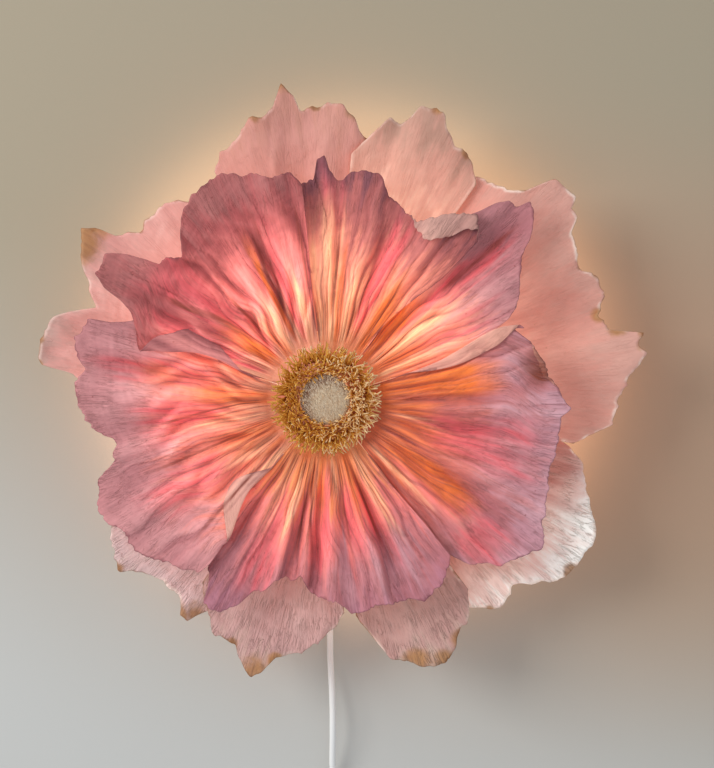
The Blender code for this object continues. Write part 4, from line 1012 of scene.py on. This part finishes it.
def paperMaterial(name, petal, whorl, seed):
    inner = whorl is innerWhorl
    made, tree, shader = newMaterial(name)
    paper = addNode(tree, "UVMap", uv_map="paper").outputs[0]
    dye = attribute(tree, "dye")
    form = attribute(tree, "form")
    edge, crease, glow = split(tree, form["Color"])
    under, lines, burnt = split(tree, attribute(tree, "fold")["Color"])
    masks = dict(zip(("orange", "cream", "rose"), split(tree, dye["Color"])))
    masks["lavender"] = dye["Alpha"]
    masks["dark"] = form["Alpha"]
    grain = useGroup(tree, crepeGrain, Paper=paper, Ridges=whorl["ridges"], Seed=float(seed))

    def dyedAndShaded(colour, dye, mask, source, bleed):
        return useGroup(tree, bledDyeAndShade, Colour=colour, Dye=dyesAndPaintedLight[dye], Mask=masks[mask], Streak=grain[source],
                        Bleed=bleed)["Colour"]

    def pressed(pitch):
        return useGroup(tree, pressedLines, Paper=paper, Pitch=pitch)["Line"]

    wandering = plus(tree, swung(tree, grain["Mottle"], paperSettings["mottle wander"]),
                     swung(tree, grain["Streak"], paperSettings["streak wander"]))
    washed = plus(tree, split(tree, paper, "XYZ")[1], wandering)
    colour, *washes = (paint(*tone) for tone in petal["colours"])
    for tone, (start, end) in zip(washes, whorl["washes"]):
        colour = mixed(tree, ramped(tree, washed, start, end), colour, tone)
    for run in whorl["dye runs"]:
        colour = dyedAndShaded(colour, *run)
    # painted shade: the fold valleys and the hairline creases are darkened, as shade falls in them
    wide = pressed(paperSettings["wide pitch"])
    narrow = times(tree, pressed(paperSettings["narrow pitch"]), paperSettings["narrow strength"])
    hairlines = calc(tree, "MAXIMUM", wide, narrow)
    if inner:
        valleyShadow = mixed(tree, paperSettings["valley shadow mix"], washes[1], dyesAndPaintedLight["dark"])
        colour = mixed(tree, times(tree, lines, paperSettings["valley shadow strength"]), colour, valleyShadow)
    colour = mixed(tree, times(tree, hairlines, whorl["hairlines"]), colour, dyesAndPaintedLight["dark"])
    if "underside" in petal:
        colour = mixed(tree, under, colour, paint(*petal["underside"]))
    if inner:
        # painted shadow along the fold valleys, from the dark strokes
        colour = dyedAndShaded(colour, "dark", "dark", "Streak", 0.6)
    # painted shade and highlight: the colour darkens in the low parts of the folds and lightens on their
    # crests, warmer in the shade
    shade = ramped(tree, crease, 0.05, 0.95, *whorl["shade"])
    shadeColour = addNode(tree, "CombineColor")
    for socket, power in zip(shadeColour.inputs, paperSettings["shade tint powers"]):
        tree.links.new(calc(tree, "POWER", shade, power), socket)
    colour = mixed(tree, 1.0, colour, shadeColour.outputs[0], "MULTIPLY")
    # painted shade: the colour follows the crepe relief that the bump also uses, darker in its hollows
    colour = mixed(tree, 1.0, colour, ramped(tree, grain["Height"], 0.3, 0.7, *whorl["relief shade"]), "MULTIPLY")
    specks = useGroup(tree, dyeSpecks, Paper=paper, Scale=paperSettings["speck scale"], Amount=whorl["specks"])
    colour = mixed(tree, specks["Mask"], colour, dyesAndPaintedLight[whorl["speck dye"]])
    edgeMm = times(tree, edge, edgeReach)
    width, burntWidth, burntMore = paperSettings["stain widths"]
    if not inner:
        # painted highlight: a pale line along the rim, in patches
        lightEdge = ramped(tree, edgeMm, *paperSettings["light edge run"], 1.0, 0.0)
        lightEdge = times(tree, lightEdge, petal["light edge"])
        lightEdge = times(tree, lightEdge, ramped(tree, grain["Mottle"], 0.42, 0.6))
        colour = mixed(tree, lightEdge, colour, dyesAndPaintedLight["rim highlight"])
        patchy = plus(tree, burnt, swung(tree, grain["Mottle"], paperSettings["scorch wander"]))
        scorch = times(tree, ramped(tree, patchy, 0.05, 0.85), ramped(tree, burnt, 0.0, 0.4))
        browned = mixed(tree, grain["Streak"], dyesAndPaintedLight["scorch"], dyesAndPaintedLight["outer stain"])
        scorch = times(tree, scorch, paperSettings["scorch strength"])
        colour = mixed(tree, scorch, colour, browned)
        width = plus(tree, burntWidth, times(tree, burnt, burntMore))
    colour = useGroup(tree, tornEdge, Colour=colour, Stain=dyesAndPaintedLight[whorl["stain dye"]], Edge=edgeMm, Width=width,
                      Amount=petal.get("stain", paperSettings["stain"]), Paper=paper)["Colour"]
    lit = mixed(tree, 1.0, colour, dyesAndPaintedLight["light through"], "MULTIPLY")
    feedAll(tree, shader, {
        "Base Color": colour,
        "Emission Color": mixed(tree, 1.0, lit, glow, "MULTIPLY"),
        "Emission Strength": 1.0,
        "Roughness": 0.82,
        "Specular IOR Level": 0.25,
        "Sheen Weight": 0.12,
        "Sheen Roughness": 0.5,
    })
    relief = minus(tree, grain["Height"], times(tree, hairlines, 0.5))
    addBump(tree, shader, relief, petal.get("relief", whorl["relief"]), paperSettings["bump"])
    return made


def makePetal(name, petal, whorl, seed):
    points, paper, masks, form = makeSheet(petal, whorl, seed)
    radius = form["radius"]
    riseStart, riseEnd, fallStart, fallEnd = whorl["glow zone"]
    glow = petal["glow"] * between(0.5, whorl["glow level"], ease(radius, riseStart, riseEnd))
    glow = glow * between(1, whorl["glow left"], ease(radius, fallStart, fallEnd))
    glow = glow * between(*whorl["glow by crease"], form["crease"])
    glow = glow * (1 - whorl["line shade"] * form["lines"]) * (1 - masks["shade"])
    mesh = meshFromGrid(name, points, paper, {
        "dye": (masks["orange"], masks["cream"], masks["rose"], masks["lavender"]),
        "form": (np.clip(form["edge"] / edgeReach, 0, 1), form["crease"], glow, masks["dark"]),
        "fold": (form["under"], form["lines"], form["burnt"], 1),
    })
    piece = addPiece(name, mesh, [petal["node"]])
    thickness = piece.modifiers.new("paper", "SOLIDIFY")
    thickness.thickness = paperThickness
    thickness.offset = 0
    mesh.materials.append(paperMaterial(name + "Paper", petal, whorl, seed))


for whorl, petals in ((innerWhorl, innerPetals), (outerWhorl, outerPetals)):
    for number, (name, petal) in enumerate(petals.items()):
        petal["seed"] = whorl["gather seed"] + number
        makePetal(name, petal, whorl, whorl["sheet seed"] + 40 * number)


print("stamens")

stamenSettings = {
    "foot": 62.3,
    "band": 7,
    "steps": 7,
    "spread": 2.6,
    "lean": 13,
    "side": 0.35,
    "curl": (0.1, 0.5),
    "half widths": (0.55, 1.1),
    "shortest": 0.62,
    "limit": 1.6,
    "rings": {
        "stamensInner": {
            "node": "stamen_fringe_inner", "radius": 24.6, "count": 230, "length": 11.5, "splay": -8,
        },
        "stamensMiddle": {
            "node": "stamen_fringe_middle", "radius": 29.2, "count": 360, "length": 13, "splay": 12,
        },
        "stamensOuter": {
            "node": "stamen_fringe_outer", "radius": 34.8, "count": 400, "length": 15, "splay": 47,
        },
    },
}


def nudge(draw, limit):
    return float(np.clip(draw.normal(), -limit, limit))


def closeStrand(faces, base, steps):
    # the sides and the two ends of a three-sided strand
    for step in range(steps - 1):
        for k in range(3):
            a = base + 3 * step + k
            b = base + 3 * step + (k + 1) % 3
            faces.append((a, b, b + 3, a + 3))
    last = base + 3 * steps - 3
    faces.append((base + 2, base + 1, base))
    faces.append((last, last + 1, last + 2))


def strandMesh(name, verts, faces, shades):
    x, y, d = np.array(verts).T
    mesh = bpy.data.meshes.new(name)
    mesh.from_pydata(world(x, y, d).tolist(), [], faces)
    paintPoints(mesh, "strand", shades)
    mesh.shade_smooth()
    return mesh


def makeStrands(name, ring, seed):
    draw = np.random.default_rng(seed)
    verts, faces, shades = [], [], []
    steps = stamenSettings["steps"]
    limit = stamenSettings["limit"]
    for i in range(ring["count"]):
        around = 2 * math.pi * (i + draw.uniform(-0.4, 0.4)) / ring["count"]
        radius = ring["radius"] + draw.uniform(-stamenSettings["spread"], stamenSettings["spread"])
        # outward, sideways, from the wall
        place = np.array([radius, 0.0, stamenSettings["foot"]])
        lean = math.radians(ring["splay"] + stamenSettings["lean"] * nudge(draw, limit))
        side = stamenSettings["side"] * nudge(draw, limit)
        curl = stamenSettings["curl"][0] + stamenSettings["curl"][1] * nudge(draw, limit)
        sideCurl = stamenSettings["curl"][1] * nudge(draw, limit)
        width = draw.uniform(*stamenSettings["half widths"])
        length = ring["length"] * draw.uniform(stamenSettings["shortest"], 1.0) + stamenSettings["band"]
        shade = draw.uniform(0, 1)
        # the ends are paler towards the right side
        pale = draw.uniform(0, 1) ** 2 + 0.55 * math.cos(around + 0.1)
        base = len(verts)
        for step in range(steps):
            t = step / (steps - 1)
            if step:
                bend = ease(t, 0.15, 0.5)
                pitch = float(lean * bend + curl * max(t - 0.35, 0) * 1.6)
                yaw = float(side * bend + sideCurl * max(t - 0.3, 0) * 1.6)
                heading = [math.sin(pitch) * math.cos(yaw), math.sin(yaw), math.cos(pitch) * math.cos(yaw)]
                place = place + length / (steps - 1) * np.array(heading)
            half = width * (1 - 0.35 * t)
            for outward, sideways in ((-half * 0.45, -half), (half * 0.45, 0), (-half * 0.45, half)):
                r = place[0] + outward
                s = place[1] + sideways
                x = r * math.cos(around) - s * math.sin(around)
                y = r * math.sin(around) + s * math.cos(around)
                verts.append((x, y, place[2]))
                shades.append((t, shade, pale, 1))
        closeStrand(faces, base, steps)
    return strandMesh(name, verts, faces, shades)


def makeStamenMaterial():
    made, tree, shader = newMaterial("stamenPaper")
    along, shade, pale = split(tree, attribute(tree, "strand")["Color"])
    place = objectPlace(tree)
    colour = mixed(tree, ramped(tree, along, 0.15, 0.5), paint(134, 68, 24), paint(202, 146, 52))
    bright = times(tree, ramped(tree, shade, 0.2, 0.9), ramped(tree, along, 0.3, 0.6))
    colour = mixed(tree, bright, colour, paint(226, 176, 80))
    tip = ramped(tree, plus(tree, along, times(tree, pale, 0.6)), 1.0, 1.4)
    colour = mixed(tree, tip, colour, paint(240, 214, 168))
    freckle = times(tree, ramped(tree, cloud(tree, place, 900, 2), 0.4, 0.7), 0.25)
    colour = mixed(tree, freckle, colour, paint(140, 84, 30))
    # painted light: the stamens give out a dimmed copy of their colour as a glow from the lamp behind
    feedAll(tree, shader, {
        "Base Color": colour,
        "Emission Color": mixed(tree, 1.0, colour, paint(106, 78, 40), "MULTIPLY"),
        "Emission Strength": 1.0,
        "Roughness": 0.75,
    })
    addBump(tree, shader, cloud(tree, place, 1500, 2), 0.3, 0.0004)
    return made


stamenMaterial = makeStamenMaterial()
for number, (name, ring) in enumerate(stamenSettings["rings"].items()):
    mesh = makeStrands(name, ring, 70 + number)
    addPiece(name, mesh, [ring["node"]])
    mesh.materials.append(stamenMaterial)


print("button")

buttonSettings = {
    "radius": 21.6,
    "foot": 61.3,
    "side height": 9.8,
    "crown": 5,
    "rings": 26,
    "around": 72,
    "dome share": 0.7,
    "lump": 0.25,
    "lump size": 3.2,
    "hairs": 3200,
    "hair lengths": (1.8, 4.0),
    "hair heading": 115,
    "hair half width": 0.19,
    "hair steps": 4,
}


def makeButton():
    # a felt dome, and short brushed hairs that lie on it
    verts, faces = [], []
    rings, around = buttonSettings["rings"], buttonSettings["around"]
    wide, foot, crown = buttonSettings["radius"], buttonSettings["foot"], buttonSettings["crown"]
    sideHeight, dome = buttonSettings["side height"], buttonSettings["dome share"]
    lumpSize = buttonSettings["lump size"]
    for i in range(rings + 1):
        share = i / rings
        down = max(share - dome, 0) / (1 - dome)
        for k in range(around):
            angle = 2 * math.pi * k / around
            if share < dome:
                r = wide * math.sin(share / dome * math.pi / 2)
                height = sideHeight + crown * math.cos(share / dome * math.pi / 2)
            else:
                r = wide - 0.5 * down
                height = sideHeight * (1 - down)
            x, y = r * math.cos(angle), r * math.sin(angle)
            lump = buttonSettings["lump"] * float(ripple(x / lumpSize + 20, y / lumpSize + 20, 5))
            verts.append((x, y, foot + height + lump * (1 - down)))
    for i in range(rings):
        for k in range(around):
            a, b = i * around + k, i * around + (k + 1) % around
            faces.append((a, a + around, b + around, b))
    faces.append(tuple(rings * around + k for k in reversed(range(around))))
    shades = [(0, 0, 0, 1)] * len(verts)
    draw = np.random.default_rng(11)
    steps = buttonSettings["hair steps"]
    for _ in range(buttonSettings["hairs"]):
        r = wide * math.sqrt(draw.uniform(0, 0.98))
        angle = draw.uniform(0, 2 * math.pi)
        heading = math.radians(buttonSettings["hair heading"]) + 0.2 * nudge(draw, 2)
        length = draw.uniform(*buttonSettings["hair lengths"])
        turn = draw.normal(0, 0.15)
        shade = draw.uniform(0, 1)
        base = len(verts)
        for step in range(steps):
            t = step / (steps - 1)
            x = r * math.cos(angle) + length * t * math.cos(heading + turn * t)
            y = r * math.sin(angle) + length * t * math.sin(heading + turn * t)
            reach = min(math.hypot(x, y) / wide, 1.0)
            top = foot + sideHeight + crown * math.sqrt(max(1 - reach * reach, 0))
            top += 0.15 + 0.35 * math.sin(math.pi * t)
            half = buttonSettings["hair half width"] * (1.2 - t)
            sx, sy = -math.sin(heading) * half, math.cos(heading) * half
            verts += [(x - sx, y - sy, top), (x, y, top + 0.14), (x + sx, y + sy, top)]
            shades += [(1, shade, 0, 1)] * 3
        closeStrand(faces, base, steps)
    return strandMesh("feltButton", verts, faces, shades)


def makeFeltMaterial():
    made, tree, shader = newMaterial("brushedFelt")
    place = objectPlace(tree)
    hair, shade, _ = split(tree, attribute(tree, "strand")["Color"])
    nap = cloud(tree, scaled(tree, place, (1, 1, 0.25)), 620, 3, 0.6, 0.6)
    tone = cloud(tree, place, 90, 3, 0.6)
    colour = mixed(tree, ramped(tree, nap, 0.3, 0.7), paint(208, 172, 134), paint(234, 202, 164))
    colour = mixed(tree, times(tree, ramped(tree, tone, 0.4, 0.7), 0.5), colour, paint(210, 180, 146))
    # painted shadow of the stamens: browner towards the edge, wider at the top left
    x, _, z = split(tree, place, "XYZ")
    across = calc(tree, "POWER", minus(tree, x, 0.004), 2.0)
    upward = calc(tree, "POWER", plus(tree, z, 0.004), 2.0)
    aside = calc(tree, "SQRT", plus(tree, across, upward))
    colour = mixed(tree, ramped(tree, aside, 0.012, 0.0225), colour, paint(146, 90, 54))
    light = times(tree, hair, ramped(tree, shade, 0.1, 0.9, 0.0, 0.9))
    feedAll(tree, shader, {
        "Base Color": mixed(tree, light, colour, paint(240, 222, 194)),
        "Roughness": 0.95,
        "Sheen Weight": 0.15,
    })
    addBump(tree, shader, nap, 0.2, 0.0006)
    return made


buttonMesh = makeButton()
buttonMesh.materials.append(makeFeltMaterial())
button = addPiece("feltButton", buttonMesh, ["centre_button"])


print("hard parts")

plySettings = {
    "ply pitch": 0.0032,
    "pale": paint(214, 184, 142),
    "grain": paint(186, 148, 104),
    "cut edge": paint(148, 108, 70),
}


def paintNodes(material, *nodes):
    for node in nodes:
        mesh = frame["nodes"][node].data
        mesh.materials.clear()
        mesh.materials.append(material)


def plainMaterial(name, colour, dust, rough, fine, bump, metallic=0.0, glow=None):
    made, tree, shader = newMaterial(name)
    worn = useGroup(tree, handling, Place=objectPlace(tree), Colour=colour, Dust=dust, Rough=rough, Fine=fine)
    feedAll(tree, shader, {
        "Base Color": worn["Colour"],
        "Roughness": worn["Roughness"],
        "Metallic": metallic,
    })
    if glow:
        feedAll(tree, shader, {"Emission Color": glow, "Emission Strength": 1.0})
    addBump(tree, shader, worn["Height"], bump, 0.0003)
    return made


def makePlywood():
    made, tree, shader = newMaterial("birchPlywood")
    place = objectPlace(tree)
    grain = cloud(tree, scaled(tree, place, (1, 1, 0.06)), 420, 4, 0.6, 0.6)
    colour = mixed(tree, ramped(tree, grain, 0.3, 0.7), plySettings["pale"], plySettings["grain"])
    through = times(tree, split(tree, place, "XYZ")[1], 2 * math.pi / plySettings["ply pitch"])
    ply = calc(tree, "SINE", through)
    facing = split(tree, addNode(tree, "NewGeometry").outputs["Normal"], "XYZ")[1]
    rim = ramped(tree, calc(tree, "ABSOLUTE", facing), 0.5, 0.9, 1.0, 0.0)
    rim = times(tree, rim, ramped(tree, ply, -0.1, 0.1, 0.0, 0.75))
    feedAll(tree, shader, {"Base Color": mixed(tree, rim, colour, plySettings["cut edge"]), "Roughness": 0.7})
    addBump(tree, shader, grain, 0.3, 0.0004)
    return made


paintNodes(makePlywood(), "wall_plate")
paintNodes(plainMaterial("zincPlate", paint(196, 198, 196), 0.12, 0.38, 260.0, 0.25, 1.0),
           "keyhole_hanger", "hanger_screw_left", "hanger_screw_right")
paintNodes(plainMaterial("spunAluminium", paint(206, 208, 210), 0.1, 0.36, 700.0, 0.2, 1.0),
           "led_pan", "standoff_post_1", "standoff_post_2", "standoff_post_3")
paintNodes(plainMaterial("lightBoard", paint(236, 236, 228), 0.05, 0.5, 1200.0, 0.1), "led_board")
opalGlow = paint(206, 158, 112)
opalMaterial = plainMaterial("opalDiffuser", paint(246, 238, 222), 0.05, 0.38, 300.0, 0.1, glow=opalGlow)
paintNodes(opalMaterial, "diffuser")
discGlow = paint(170, 108, 70)
discMaterial = plainMaterial("opalDisc", paint(240, 230, 212), 0.05, 0.4, 300.0, 0.1, glow=discGlow)
paintNodes(discMaterial, "front_disc")
cordMaterial = plainMaterial("whiteCordPlastic", paint(236, 236, 234), 0.06, 0.42, 500.0, 0.15)
mainsCord.data.materials.append(cordMaterial)
paintNodes(cordMaterial, "cord_gland", "coil_tie", "plug_body")
paintNodes(plainMaterial("nickelPin", paint(208, 204, 196), 0.05, 0.28, 900.0, 0.15, 1.0),
           "plug_pin_left", "plug_pin_right")


print("wall and light")

wallSettings = {
    "reach": 7,
    "sides": 96,
    "gap": 0.0006,
    "hole margin": 0.002,
    "low": paint(196, 197, 194),
    "high": paint(168, 157, 136),
    "right": paint(182, 152, 128),
}
lightSettings = {
    "key place": (-1.9, -1.7, 0.75),
    "key size": 1.3,
    "key power": 40,
    "key colour": (1.0, 0.985, 0.96),
    "lamp reach": 0.225,
    "lamp place": (0.022, -0.036, 0.036),
    "lamp power": 0.75,
    "lamp colour": (1.0, 0.7, 0.5),
    "world": (0.93, 0.96, 1.0),
    "world strength": 0.64,
}


def makeWall():
    # a round hole behind the plate lets light onto the plate's back
    low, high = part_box("wall_plate")
    hole = (high[0] - low[0]) / 2 - wallSettings["hole margin"]
    sides = wallSettings["sides"]
    verts = []
    for radius in (hole, wallSettings["reach"]):
        for k in range(sides):
            angle = 2 * math.pi * k / sides
            verts.append((radius * math.cos(angle), wallSettings["gap"], radius * math.sin(angle)))
    faces = [(k, sides + k, sides + (k + 1) % sides, (k + 1) % sides) for k in range(sides)]
    mesh = bpy.data.meshes.new("wall")
    mesh.from_pydata(verts, [], faces)
    made, tree, shader = newMaterial("paintedWall")
    place = objectPlace(tree)
    roller = cloud(tree, place, 260, 4, 0.65)
    x, _, z = split(tree, place, "XYZ")
    # painted light and shade on the wall: darker and warmer towards the top right, with a warm patch of
    # painted lamplight to the right of the flower
    height = plus(tree, plus(tree, z, times(tree, x, 0.3)), times(tree, cloud(tree, place, 2.0, 2), 0.1))
    colour = mixed(tree, ramped(tree, height, -0.34, 0.14), wallSettings["low"], wallSettings["high"])
    level = ramped(tree, calc(tree, "ABSOLUTE", plus(tree, z, 0.03)), 0.05, 0.34, 1.0, 0.0)
    beside = times(tree, ramped(tree, x, 0.05, 0.32), level)
    colour = mixed(tree, beside, colour, wallSettings["right"])
    feedAll(tree, shader, {"Base Color": colour, "Roughness": 0.85})
    addBump(tree, shader, roller, 0.12, 0.0006)
    # seen from behind, the wall isn't there
    chosen = addNode(tree, "MixShader")
    tree.links.new(addNode(tree, "NewGeometry").outputs["Backfacing"], chosen.inputs[0])
    tree.links.new(tree.nodes["Principled BSDF"].outputs[0], chosen.inputs[1])
    tree.links.new(addNode(tree, "BsdfTransparent").outputs[0], chosen.inputs[2])
    tree.links.new(chosen.outputs[0], tree.nodes["Material Output"].inputs["Surface"])
    mesh.materials.append(made)
    wall = bpy.data.objects.new("wall", mesh)
    bpy.context.scene.collection.objects.link(wall)


def addLight(name, kind, shape, size, place, turn):
    lamp = bpy.data.lights.new(name, "AREA")
    lamp.shape = shape
    lamp.size = size
    lamp.energy = lightSettings[kind + " power"]
    lamp.color = lightSettings[kind + " colour"]
    light = bpy.data.objects.new(name, lamp)
    light.location = place
    light.rotation_euler = turn
    light.visible_camera = False
    bpy.context.scene.collection.objects.link(light)


def makeLights():
    place = lightSettings["key place"]
    aim = np.array(place) / np.linalg.norm(place)
    turn = (math.acos(aim[2]), 0, math.atan2(aim[1], aim[0]) + math.pi / 2)
    addLight("window", "key", "SQUARE", lightSettings["key size"], place, turn)
    # the lamp behind the petals, as it shines on the wall
    turn = (math.radians(90), 0, 0)
    addLight("lampGlow", "lamp", "DISK", 2 * lightSettings["lamp reach"], lightSettings["lamp place"], turn)
    sky = bpy.data.worlds.new("room")
    sky.use_nodes = True
    back = sky.node_tree.nodes["Background"]
    back.inputs["Color"].default_value = (*lightSettings["world"], 1)
    back.inputs["Strength"].default_value = lightSettings["world strength"]
    bpy.context.scene.world = sky
    bpy.context.scene.view_settings.view_transform = "Standard"


makeWall()
makeLights()

bpy.context.view_layer.update()
